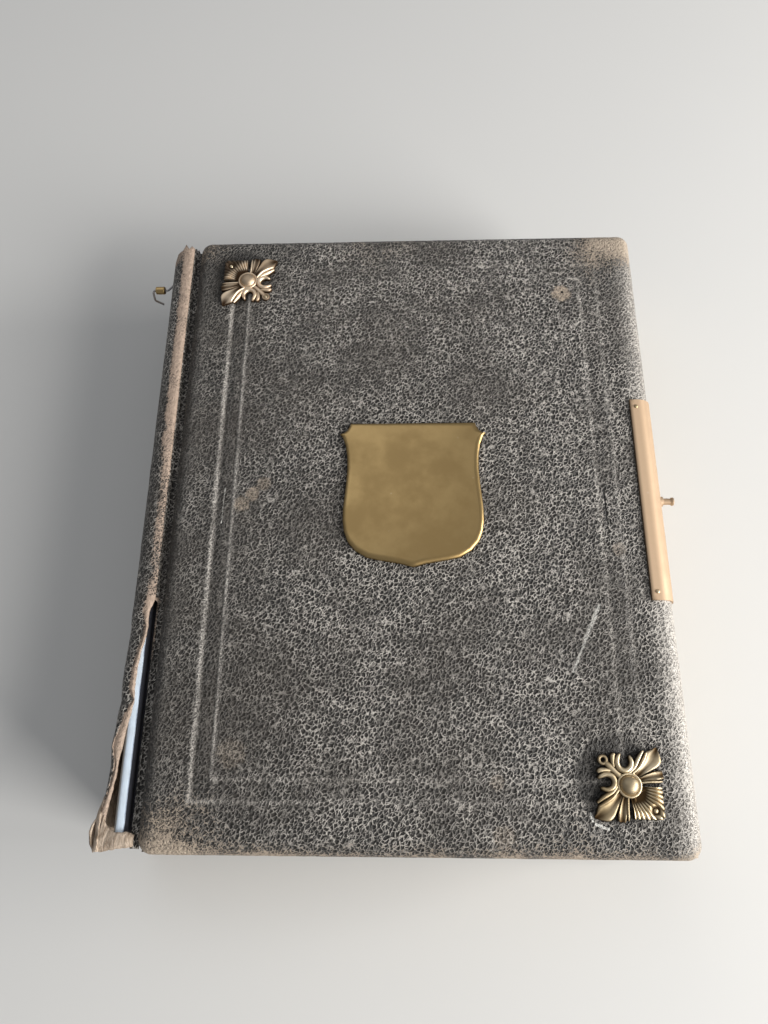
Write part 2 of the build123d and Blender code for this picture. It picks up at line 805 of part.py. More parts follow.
with BuildPart() as catch_plate_nails:
    for y in plate_nail_y:
        seat = Plane(origin=(half_w + plate_t, y, catch_nail_z), x_dir=(0, 1, 0), z_dir=(1, 0, 0))
        add(nail(seat, nail_len + plate_t))
catch_plate_nails.part.label = "catch_plate_nails"
export_step(catch_plate_nails.part, "parts/catch_plate_nails.step")
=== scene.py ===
"""Dresses the antique photo album: worn leather covers, torn spine, brass mounts, clasp and card leaves."""

import logging
import math
from collections.abc import Callable, Sequence
from dataclasses import dataclass
from enum import Enum
from functools import reduce
from typing import ClassVar

import bmesh
import bpy
from mathutils import Matrix, Vector, noise


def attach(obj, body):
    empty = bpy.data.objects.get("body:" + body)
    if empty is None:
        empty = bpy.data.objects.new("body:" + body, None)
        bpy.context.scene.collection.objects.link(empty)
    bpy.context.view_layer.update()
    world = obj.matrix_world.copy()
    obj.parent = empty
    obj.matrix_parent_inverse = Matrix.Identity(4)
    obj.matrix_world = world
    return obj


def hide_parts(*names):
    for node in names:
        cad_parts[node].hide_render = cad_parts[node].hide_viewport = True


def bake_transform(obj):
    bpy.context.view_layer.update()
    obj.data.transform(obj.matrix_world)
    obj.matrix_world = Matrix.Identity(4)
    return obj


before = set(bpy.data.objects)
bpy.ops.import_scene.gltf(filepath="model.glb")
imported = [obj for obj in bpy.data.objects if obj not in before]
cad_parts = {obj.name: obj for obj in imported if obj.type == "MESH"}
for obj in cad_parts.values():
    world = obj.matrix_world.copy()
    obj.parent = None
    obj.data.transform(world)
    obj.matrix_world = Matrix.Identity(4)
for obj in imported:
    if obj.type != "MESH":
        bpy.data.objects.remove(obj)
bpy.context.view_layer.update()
LOG = logging.getLogger("album")
MM = 0.001

Pair = tuple[float, float]
Triple = tuple[float, float, float]
Quad = tuple[float, float, float, float]
Colour = Quad
Socket = bpy.types.NodeSocket


class Body(Enum):
    """The moving bodies of the album."""

    BACK = "back_cover"
    LEAVES = "leaf_block"
    FRONT = "front_cover"
    BUTTON = "button"


class Slot(Enum):
    """The record's material slots."""

    LEATHER = "leather"
    SPINE = "spine_leather"
    BOARD = "board"
    PAPER = "paper"
    LINING = "lining"
    LEAVES = "leaves"
    BRASS = "brass"
    STEEL = "steel"


def mm(x: float, y: float, z: float) -> Vector:
    """A point given in millimetres."""
    return Vector((x, y, z)) * MM


def smooth(value: float, low: float, high: float) -> float:
    """A smooth step from 0 at low to 1 at high."""
    t = min(max((value - low) / (high - low), 0.0), 1.0)
    return t * t * (3.0 - 2.0 * t)


def ramp(value: float, rise: Triple) -> float:
    """A smooth rise, given as its height and the limits that it lies between."""
    height, low, high = rise
    return height * smooth(value, low, high)


def bell(distance: float, width: float) -> float:
    """A bell curve of height 1 and the given half width."""
    return math.exp(-((distance / width) ** 2))


def ripple(x: float, y: float, z: float, pitch: float) -> float:
    """Repeatable noise between about -1 and 1 whose lumps are about pitch apart.

    Args:
        x, y, z: Where to read it, in millimetres.
        pitch: Size of a lump, in millimetres.

    Returns:
        The noise value.
    """
    return noise.noise(Vector((x, y, z)) / pitch)


def along(table: Sequence[Sequence[float]], at: float) -> list[float]:
    """Reads a table of rows by its first column, with straight runs between the rows.

    Args:
        table: Rows whose first column rises.
        at: Where to read the other columns.

    Returns:
        The other columns' values there.
    """
    if at <= table[0][0]:
        return list(table[0][1:])
    for low, high in zip(table, table[1:]):
        if at <= high[0]:
            t = (at - low[0]) / (high[0] - low[0])
            return [a + (b - a) * t for a, b in zip(low[1:], high[1:])]
    return list(table[-1][1:])


def curve_through(points: Sequence[Sequence[float]], count: int) -> list[list[float]]:
    """Samples a smooth curve that passes through every point.

    Args:
        points: Rows of any number of columns.
        count: How many samples to take.

    Returns:
        The sampled rows.
    """
    rows = [list(points[0]), *[list(p) for p in points], list(points[-1])]
    spans = len(points) - 1
    samples = []
    for i in range(count):
        t = i / (count - 1) * spans
        k = min(int(t), spans - 1)
        t -= k
        a, b, c, d = rows[k : k + 4]
        samples.append(
            [
                q + 0.5 * t * (r - p + t * (2 * p - 5 * q + 4 * r - s + t * (3 * q - p - 3 * r + s)))
                for p, q, r, s in zip(a, b, c, d)
            ]
        )
    return samples


class NodeSheet:
    """Adds and links the nodes of one material or one shader group."""

    def __init__(self, tree: bpy.types.NodeTree) -> None:
        """Keeps the tree that the nodes go on."""
        self.tree = tree

    def feed(self, socket: Socket, value: object) -> None:
        """Links a socket into an input, or sets the input's own value."""
        if isinstance(value, bpy.types.NodeSocket):
            self.tree.links.new(value, socket)
        else:
            socket.default_value = value

    def add(self, kind: str, inputs: dict | None = None, **settings: object) -> bpy.types.Node:
        """Adds one node.

        Args:
            kind: The node's type.
            inputs: Values or sockets by input name or number.
            settings: The node's own properties.

        Returns:
            The node.
        """
        node = self.tree.nodes.new(kind)
        for key, value in settings.items():
            setattr(node, key, value)
        for key, value in (inputs or {}).items():
            self.feed(node.inputs[key], value)
        return node

    def math(
        self, operation: str, a: object, b: object = 0.0, c: object = 0.0, clamp: bool = False
    ) -> Socket:
        """A math node's result."""
        return self.add("ShaderNodeMath", {0: a, 1: b, 2: c}, operation=operation, use_clamp=clamp).outputs[0]

    def times(self, a: object, b: object, clamp: bool = False) -> Socket:
        """Two values multiplied."""
        return self.math("MULTIPLY", a, b, clamp=clamp)

    def plus(self, a: object, share: object, b: object, clamp: bool = False) -> Socket:
        """A share of one value added to another."""
        return self.math("MULTIPLY_ADD", a, share, b, clamp)

    def centred(self, a: object, middle: float, share: float, b: object) -> Socket:
        """A share of one value, taken about its middle, added to another."""
        return self.plus(self.math("SUBTRACT", a, middle), share, b)

    def vector(self, operation: str, a: object, b: object = (0.0, 0.0, 0.0)) -> bpy.types.Node:
        """A vector math node."""
        return self.add("ShaderNodeVectorMath", {0: a, 1: b}, operation=operation)

    def scaled(self, a: object, share: object) -> Socket:
        """A vector times a number."""
        return self.add("ShaderNodeVectorMath", {0: a, 3: share}, operation="SCALE").outputs[0]

    def stretched(self, vector: Socket, scale: Triple, turn: float = 0.0, kind: str = "POINT") -> Socket:
        """Coordinates turned about Z, in radians, and stretched."""
        inputs = {"Vector": vector, "Rotation": (0.0, 0.0, turn), "Scale": scale}
        return self.add("ShaderNodeMapping", inputs, vector_type=kind).outputs[0]

    def cells(self, vector: Socket, scale: object, feature: str = "F1") -> Socket:
        """A cell texture's distance."""
        inputs = {"Vector": vector, "Scale": scale}
        return self.add("ShaderNodeTexVoronoi", inputs, feature=feature).outputs["Distance"]

    def group(self, tree: bpy.types.NodeTree, **inputs: object) -> bpy.types.bpy_prop_collection:
        """A shader group's outputs."""
        return self.add("ShaderNodeGroup", inputs, node_tree=tree).outputs

    def blend(self, factor: object, a: object, b: object) -> Socket:
        """Two colours mixed by a factor."""
        node = self.add("ShaderNodeMix", {0: factor, 6: a, 7: b}, data_type="RGBA")
        return node.outputs[2]

    def step(
        self, value: object, low: float, high: float, to_low: float = 0.0, to_high: float = 1.0
    ) -> Socket:
        """A smooth step of a value between two limits."""
        inputs = {"Value": value, "From Min": low, "From Max": high, "To Min": to_low, "To Max": to_high}
        return self.add("ShaderNodeMapRange", inputs, interpolation_type="SMOOTHSTEP").outputs["Result"]

    def noise(self, vector: Socket, scale: object, detail: float = 3.0, roughness: float = 0.55) -> Socket:
        """A noise texture's value."""
        inputs = {"Vector": vector, "Scale": scale, "Detail": detail, "Roughness": roughness}
        return self.add("ShaderNodeTexNoise", inputs).outputs["Fac"]

    def place(self) -> Socket:
        """The piece's own coordinates, in metres."""
        return self.add("ShaderNodeTexCoord").outputs["Object"]

    def attribute(self, name: str) -> Socket:
        """A value painted on the mesh."""
        return self.add("ShaderNodeAttribute", attribute_name=name).outputs["Fac"]


def shader_group(
    name: str, inputs: dict[str, str], outputs: dict[str, str]
) -> tuple[NodeSheet, bpy.types.Node, bpy.types.Node]:
    """Starts a shader node group.

    Args:
        name: The group's name.
        inputs: Socket types by name.
        outputs: Socket types by name.

    Returns:
        The group's sheet, its input node and its output node.
    """
    tree = bpy.data.node_groups.new(name, "ShaderNodeTree")
    for key, kind in inputs.items():
        tree.interface.new_socket(key, in_out="INPUT", socket_type=kind)
    for key, kind in outputs.items():
        tree.interface.new_socket(key, in_out="OUTPUT", socket_type=kind)
    sheet = NodeSheet(tree)
    return sheet, sheet.add("NodeGroupInput"), sheet.add("NodeGroupOutput")


VALUE, VECTOR = "NodeSocketFloat", "NodeSocketVector"


@dataclass
class Effects:
    """The shader groups that several finishes share."""

    grain: bpy.types.NodeTree
    patches: bpy.types.NodeTree
    spot: bpy.types.NodeTree
    stroke: bpy.types.NodeTree
    fibre: bpy.types.NodeTree
    tarnish: bpy.types.NodeTree
    lean: ClassVar[float] = math.radians(50)
    stretch: ClassVar[float] = 1.7
    sway: ClassVar[float] = 0.0018
    ridge: ClassVar[float] = 0.15
    shoulder: ClassVar[float] = 0.34

    @classmethod
    def build(cls) -> "Effects":
        """Builds every group once."""
        return cls(cls._grain(), cls._patches(), cls._spot(), cls._stroke(), cls._fibre(), cls._tarnish())

    @classmethod
    def _grain(cls) -> bpy.types.NodeTree:
        """Pebbled leather grain: a raised network round small pits, drawn out into wrinkles in places."""
        sheet, given, result = shader_group(
            "pebble_grain",
            {"Vector": VECTOR, "Pitch": VALUE},
            {"Height": VALUE, "Network": VALUE, "Fine": VALUE},
        )
        place, pitch = given.outputs["Vector"], given.outputs["Pitch"]
        lumps = {"Vector": place, "Scale": 560.0, "Detail": 3.0, "Roughness": 0.6}
        sway = sheet.add("ShaderNodeTexNoise", lumps).outputs["Color"]
        sway = sheet.vector("SUBTRACT", sway, (0.5, 0.5, 0.5)).outputs[0]
        swayed = sheet.vector("ADD", place, sheet.scaled(sway, cls.sway)).outputs[0]
        turned = sheet.stretched(swayed, (cls.stretch, 1.0, 1.0), cls.lean, "TEXTURE")
        edge, near = sheet.cells(turned, pitch, "DISTANCE_TO_EDGE"), sheet.cells(turned, pitch)
        network = sheet.step(edge, 0.0, cls.ridge, 1.0, 0.0)
        fine = sheet.noise(place, 1900.0, 2.0, 0.6)
        broken = sheet.step(sheet.noise(place, 520.0, 3.0, 0.6), 0.34, 0.60, 0.15, 1.0)
        sheet.feed(result.inputs["Network"], sheet.times(network, broken))
        sheet.feed(result.inputs["Fine"], sheet.step(fine, 0.32, 0.68))
        ridge = sheet.step(edge, 0.0, cls.shoulder, 1.0, 0.0)
        height = sheet.plus(sheet.step(near, 0.0, 0.6, 1.0, 0.0), -0.35, ridge)
        sheet.feed(result.inputs["Height"], sheet.plus(fine, 0.28, height))
        return sheet.tree

    @staticmethod
    def _patches() -> bpy.types.NodeTree:
        """Uneven ageing at three sizes."""
        sheet, given, result = shader_group(
            "age_patches", {"Vector": VECTOR}, {"Broad": VALUE, "Middle": VALUE, "Fine": VALUE}
        )
        place = given.outputs["Vector"]
        sizes = (("Broad", 22.0, 0.35, 0.68), ("Middle", 95.0, 0.32, 0.68), ("Fine", 620.0, 0.3, 0.7))
        for name, scale, low, high in sizes:
            sheet.feed(result.inputs[name], sheet.step(sheet.noise(place, scale, 4.0, 0.6), low, high))
        return sheet.tree

    @staticmethod
    def _spot() -> bpy.types.NodeTree:
        """A round mark with an uneven edge."""
        sheet, given, result = shader_group(
            "spot_mark", {"Vector": VECTOR, "Centre": VECTOR, "Radius": VALUE}, {"Mask": VALUE}
        )
        place = given.outputs["Vector"]
        far = sheet.vector("DISTANCE", place, given.outputs["Centre"]).outputs["Value"]
        share = sheet.math("DIVIDE", far, given.outputs["Radius"])
        share = sheet.centred(sheet.noise(place, 420.0), 0.5, 0.9, share)
        sheet.feed(result.inputs["Mask"], sheet.step(share, 0.65, 1.15, 1.0, 0.0))
        return sheet.tree

    @staticmethod
    def _stroke() -> bpy.types.NodeTree:
        """A scratch from one point to another."""
        inputs = {"Vector": VECTOR, "Start": VECTOR, "End": VECTOR, "Width": VALUE}
        sheet, given, result = shader_group("scratch_mark", inputs, {"Mask": VALUE})
        place = given.outputs["Vector"]
        run = sheet.vector("SUBTRACT", given.outputs["End"], given.outputs["Start"]).outputs[0]
        off = sheet.vector("SUBTRACT", place, given.outputs["Start"]).outputs[0]
        dot = sheet.vector("DOT_PRODUCT", off, run).outputs["Value"]
        length = sheet.vector("DOT_PRODUCT", run, run).outputs["Value"]
        share = sheet.math("DIVIDE", dot, length, clamp=True)
        far = sheet.vector("DISTANCE", off, sheet.scaled(run, share)).outputs["Value"]
        share = sheet.math("DIVIDE", far, given.outputs["Width"])
        share = sheet.centred(sheet.noise(place, 500.0), 0.5, 1.6, share)
        sheet.feed(result.inputs["Mask"], sheet.step(share, 0.3, 1.0, 1.0, 0.0))
        return sheet.tree

    @staticmethod
    def _fibre() -> bpy.types.NodeTree:
        """Short fibres of torn leather, card or paper."""
        sheet, given, result = shader_group(
            "torn_fibre", {"Vector": VECTOR, "Scale": VALUE}, {"Fibre": VALUE, "Blotch": VALUE}
        )
        place = given.outputs["Vector"]
        hairs = sheet.noise(sheet.stretched(place, (1.0, 0.35, 1.0)), given.outputs["Scale"], 5.0, 0.7)
        sheet.feed(result.inputs["Fibre"], sheet.step(hairs, 0.3, 0.7))
        sheet.feed(result.inputs["Blotch"], sheet.step(sheet.noise(place, 130.0, 3.0), 0.35, 0.65))
        return sheet.tree

    @staticmethod
    def _tarnish() -> bpy.types.NodeTree:
        """Tarnish clouds, small bright specks and fine scratches on old brass."""
        sheet, given, result = shader_group(
            "brass_age", {"Vector": VECTOR}, {"Cloud": VALUE, "Speck": VALUE, "Scratch": VALUE}
        )
        place = given.outputs["Vector"]
        sheet.feed(result.inputs["Cloud"], sheet.step(sheet.noise(place, 55.0, 4.0, 0.6), 0.34, 0.66))
        dots = sheet.step(sheet.cells(place, 150.0), 0.03, 0.11, 1.0, 0.0)
        few = sheet.step(sheet.noise(place, 40.0, 2.0), 0.5, 0.62)
        sheet.feed(result.inputs["Speck"], sheet.times(dots, few))
        drawn = sheet.stretched(place, (1.0, 0.04, 1.0), 0.9)
        sheet.feed(result.inputs["Scratch"], sheet.noise(drawn, 1500.0, 2.0))
        return sheet.tree


def new_material(name: str) -> tuple[bpy.types.Material, NodeSheet, bpy.types.Node]:
    """Starts a material with a bare Principled shader.

    Args:
        name: The material's name.

    Returns:
        The material, its node sheet and its shader.
    """
    material = bpy.data.materials.new(name)
    material.use_nodes = True
    material.node_tree.nodes.clear()
    sheet = NodeSheet(material.node_tree)
    shader = sheet.add("ShaderNodeBsdfPrincipled")
    sheet.add("ShaderNodeOutputMaterial", {"Surface": shader.outputs[0]})
    return material, sheet, shader


def bumped(sheet: NodeSheet, shader: bpy.types.Node, height: Socket, depth: float) -> None:
    """Gives a shader a bump of a real depth in millimetres."""
    bump = sheet.add("ShaderNodeBump", {"Height": height, "Strength": 1.0, "Distance": depth * MM})
    sheet.feed(shader.inputs["Normal"], bump.outputs[0])



@dataclass(frozen=True)
class Spot:
    """A round mark on the front cover, in millimetres; scuffs use it, and so does the painted shade in nail
    holes.
    """

    x: float
    y: float
    radius: float
    strength: float = 1.0


@dataclass(frozen=True)
class Scratch:
    """A straight scratch on the front cover, in millimetres."""

    start: Pair
    end: Pair
    width: float
    strength: float = 1.0


@dataclass(frozen=True)
class LeatherFinish:
    """Pebbled black leather, worn grey on its grain with a painted highlight on the grain's network, and tan
    where the wear goes through.
    """

    name: str
    effects: Effects
    deep: Colour = (0.011, 0.010, 0.009, 1.0)
    rubbed_and_highlight: Colour = (0.500, 0.464, 0.417, 1.0)
    brown: Colour = (0.170, 0.132, 0.098, 1.0)
    tan: Colour = (0.430, 0.352, 0.272, 1.0)
    bare: Colour = (0.780, 0.760, 0.700, 1.0)
    pitch: float = 800.0
    depth: float = 0.60
    height: float = 58.0
    gloss: float = 0.32
    rough: Pair = (0.42, 0.70)
    pressed_left: float = 0.6
    shade_and_grime_left: float = 0.12
    brown_share: float = 0.09
    worn_through: Pair = (0.30, 0.95)
    spots: tuple[Spot, ...] = ()
    shaded_holes: tuple[Spot, ...] = ()
    scratches: tuple[Scratch, ...] = ()
    dark_scratches: tuple[Scratch, ...] = ()

    def _marks(
        self, sheet: NodeSheet, place: Socket, spots: Sequence[Spot], scratches: Sequence[Scratch]
    ) -> Socket | None:
        """Adds up the masks of several marks.

        Args:
            sheet: The material's sheet.
            place: The coordinates.
            spots: Round marks.
            scratches: Straight marks.

        Returns:
            One mask, or None where there are no marks.
        """
        masks = []
        for spot in spots:
            centre = mm(spot.x, spot.y, self.height)
            mark = sheet.group(self.effects.spot, Vector=place, Centre=centre, Radius=spot.radius * MM)
            masks.append(sheet.times(mark["Mask"], spot.strength))
        for line in scratches:
            start, end = (mm(*point, self.height) for point in (line.start, line.end))
            mark = sheet.group(self.effects.stroke, Vector=place, Start=start, End=end, Width=line.width * MM)
            masks.append(sheet.times(mark["Mask"], line.strength))
        return reduce(lambda a, b: sheet.math("MAXIMUM", a, b), masks) if masks else None

    def build(self) -> bpy.types.Material:
        """The finished material."""
        material, sheet, shader = new_material(self.name)
        shader.inputs["Specular IOR Level"].default_value = self.gloss
        place = sheet.place()
        grain = sheet.group(self.effects.grain, Vector=place, Pitch=self.pitch)
        age = sheet.group(self.effects.patches, Vector=place)
        wear = sheet.attribute("wear")
        pressed = sheet.attribute("pressed")
        lines = sheet.attribute("lines")
        uneven = sheet.times(
            sheet.step(age["Middle"], 0.0, 1.0, 0.65, 1.1), sheet.step(age["Broad"], 0.0, 1.0, 1.15, 0.65)
        )
        # The grain's network is coloured pale: worn grey, and a painted highlight where its ridges would
        # catch the light.
        rub = sheet.times(grain["Network"], uneven)
        rub = sheet.times(rub, sheet.step(pressed, 0.0, 1.0, 1.0, self.pressed_left))
        # This attribute dims the grain: painted shadow with dirt beside the mounts, and a darker tone nearer
        # the spine and the tail.
        shade_and_grime = sheet.attribute("shade_and_grime")
        rub = sheet.times(rub, sheet.step(shade_and_grime, 0.0, 1.0, 1.0, self.shade_and_grime_left))
        rub = sheet.plus(grain["Fine"], 0.05, rub)
        speckled = sheet.plus(grain["Fine"], 0.8, 0.2)
        # The lines attribute lightens the worn tooled lines, and the rounded edges with wear and a painted
        # sheen.
        rub = sheet.plus(lines, speckled, rub, clamp=True)
        colour = sheet.blend(rub, self.deep, self.rubbed_and_highlight)
        colour = sheet.blend(sheet.times(age["Broad"], self.brown_share), colour, self.brown)
        through = sheet.centred(age["Middle"], 0.5, 0.4, wear)
        through = sheet.centred(grain["Network"], 0.35, 0.65, through)
        through = sheet.centred(grain["Fine"], 0.5, 0.60, through)
        through = sheet.times(sheet.step(through, *self.worn_through), sheet.step(wear, 0.02, 0.25))
        pale = self._marks(sheet, place, self.spots, ())
        if pale is not None:
            mottled = sheet.plus(grain["Network"], 0.6, sheet.times(grain["Fine"], 0.7))
            through = sheet.math("MAXIMUM", through, sheet.times(pale, mottled, clamp=True))
        toned = sheet.blend(sheet.times(age["Fine"], 0.45), self.tan, self.brown)
        colour = sheet.blend(through, colour, toned)
        cut = self._marks(sheet, place, (), self.scratches)
        if cut is not None:
            colour = sheet.blend(sheet.times(cut, speckled), colour, self.bare)
        # Painted shade inside the nail holes, and the dark scratches.
        dark = self._marks(sheet, place, self.shaded_holes, self.dark_scratches)
        if dark is not None:
            colour = sheet.blend(dark, colour, self.deep)
        sheet.feed(shader.inputs["Base Color"], colour)
        rough = sheet.step(sheet.math("ADD", through, age["Middle"]), 0.0, 1.6, *self.rough)
        sheet.feed(shader.inputs["Roughness"], sheet.plus(lines, -0.20, rough))
        height = sheet.times(grain["Height"], sheet.step(through, 0.0, 1.0, 1.0, 0.45))
        height = sheet.times(height, sheet.step(pressed, 0.0, 1.0, 1.0, 0.8))
        height = sheet.times(height, sheet.step(lines, 0.0, 1.0, 1.0, 0.3))
        if dark is not None:
            height = sheet.math("SUBTRACT", height, sheet.times(dark, 2.0))
        bumped(sheet, shader, height, self.depth)
        return material


@dataclass(frozen=True)
class FleshFinish:
    """The tan, fibrous flesh side of torn leather."""

    name: str
    effects: Effects
    light: Colour = (0.610, 0.490, 0.380, 1.0)
    dark: Colour = (0.200, 0.138, 0.090, 1.0)

    def build(self) -> bpy.types.Material:
        """The finished material."""
        material, sheet, shader = new_material(self.name)
        place = sheet.place()
        torn = sheet.group(self.effects.fibre, Vector=place, Scale=900.0)
        mask = sheet.times(torn["Fibre"], sheet.plus(torn["Blotch"], 0.6, 0.5))
        sheet.feed(shader.inputs["Base Color"], sheet.blend(mask, self.light, self.dark))
        sheet.feed(shader.inputs["Roughness"], sheet.step(torn["Fibre"], 0.0, 1.0, 0.8, 0.95))
        bumped(sheet, shader, torn["Fibre"], 0.25)
        return material


@dataclass(frozen=True)
class PaperFinish:
    """Aged paper or card with foxing and soft stains, and lines where sheets are stacked."""

    name: str
    effects: Effects
    light: Colour
    stain: Colour
    stain_share: float = 0.5
    layers: float = 0.0

    def build(self) -> bpy.types.Material:
        """The finished material."""
        material, sheet, shader = new_material(self.name)
        place = sheet.place()
        torn = sheet.group(self.effects.fibre, Vector=place, Scale=1400.0)
        age = sheet.group(self.effects.patches, Vector=place)
        mask = sheet.times(sheet.times(age["Broad"], age["Middle"]), self.stain_share)
        mask = sheet.math("ADD", mask, sheet.times(torn["Fibre"], 0.12), clamp=True)
        if self.layers:
            stack = sheet.noise(sheet.stretched(place, (0.02, 0.02, 1.0)), self.layers, 2.0)
            mask = sheet.math("ADD", mask, sheet.step(stack, 0.45, 0.7, 0.0, 0.4), clamp=True)
        sheet.feed(shader.inputs["Base Color"], sheet.blend(mask, self.light, self.stain))
        sheet.feed(shader.inputs["Roughness"], sheet.step(torn["Fibre"], 0.0, 1.0, 0.72, 0.9))
        bumped(sheet, shader, torn["Fibre"], 0.05)
        return material


@dataclass(frozen=True)
class LiningFinish:
    """Pale blue-white lining paper, with painted shade: grey towards the spine where it rounds down, and dark
    blue down its shoulder.
    """

    name: str
    effects: Effects
    pale: Colour = (0.700, 0.800, 0.900, 1.0)
    grey: Colour = (0.300, 0.290, 0.270, 1.0)
    blue: Colour = (0.055, 0.075, 0.150, 1.0)
    grey_shade_until: Pair = (-0.1160, -0.1154)
    blue_shade_from: Pair = (-0.1128, -0.1122)

    def build(self) -> bpy.types.Material:
        """The finished material."""
        material, sheet, shader = new_material(self.name)
        place = sheet.place()
        across = sheet.add("ShaderNodeSeparateXYZ", {0: place}).outputs["X"]
        age = sheet.group(self.effects.patches, Vector=place)
        torn = sheet.group(self.effects.fibre, Vector=place, Scale=1100.0)
        edge = sheet.centred(age["Middle"], 0.5, 0.0003, across)
        # Painted shade: grey where the lining rounds down towards the spine.
        colour = sheet.blend(sheet.step(edge, *self.grey_shade_until), self.grey, self.pale)
        colour = sheet.blend(sheet.times(torn["Blotch"], 0.16), colour, self.grey)
        # Painted shade: dark blue down the shoulder.
        colour = sheet.blend(sheet.step(edge, *self.blue_shade_from), colour, self.blue)
        sheet.feed(shader.inputs["Base Color"], colour)
        sheet.feed(shader.inputs["Roughness"], sheet.step(torn["Fibre"], 0.0, 1.0, 0.7, 0.9))
        bumped(sheet, shader, torn["Fibre"], 0.06)
        return material


@dataclass(frozen=True)
class BrassFinish:
    """Old brass: clouded with tarnish, brighter where it is worn, and dark in its hollows and where painted
    shade is laid on.
    """

    name: str
    effects: Effects
    bright: Colour
    dull: Colour
    hollow_and_shade: Colour = (0.060, 0.036, 0.016, 1.0)
    speck: Colour = (0.80, 0.74, 0.60, 1.0)
    rough: Pair = (0.34, 0.52)
    scratch: float = 0.012
    metal: float = 1.0

    def build(self) -> bpy.types.Material:
        """The finished material."""
        material, sheet, shader = new_material(self.name)
        shader.inputs["Metallic"].default_value = self.metal
        place = sheet.place()
        age = sheet.group(self.effects.tarnish, Vector=place)
        hollow_and_shade = sheet.attribute("hollow_and_shade")
        colour = sheet.blend(age["Cloud"], self.bright, self.dull)
        colour = sheet.blend(sheet.times(age["Speck"], 0.55), colour, self.speck)
        # Dark patina in the hollows, and painted shade where a piece paints it.
        colour = sheet.blend(sheet.step(hollow_and_shade, 0.1, 0.9), colour, self.hollow_and_shade)
        sheet.feed(shader.inputs["Base Color"], colour)
        tone = sheet.math("ADD", age["Cloud"], hollow_and_shade)
        sheet.feed(shader.inputs["Roughness"], sheet.step(tone, 0.0, 1.4, *self.rough))
        bumped(sheet, shader, age["Scratch"], self.scratch)
        return material


@dataclass(frozen=True)
class SteelFinish:
    """Dull grey wire with a brown bloom."""

    name: str
    effects: Effects
    grey: Colour = (0.33, 0.33, 0.34, 1.0)
    bloom: Colour = (0.20, 0.15, 0.11, 1.0)

    def build(self) -> bpy.types.Material:
        """The finished material."""
        material, sheet, shader = new_material(self.name)
        shader.inputs["Metallic"].default_value = 1.0
        place = sheet.place()
        age = sheet.group(self.effects.tarnish, Vector=place)
        sheet.feed(shader.inputs["Base Color"], sheet.blend(age["Cloud"], self.grey, self.bloom))
        sheet.feed(shader.inputs["Roughness"], sheet.step(age["Cloud"], 0.0, 1.0, 0.38, 0.62))
        bumped(sheet, shader, age["Scratch"], 0.01)
        return material


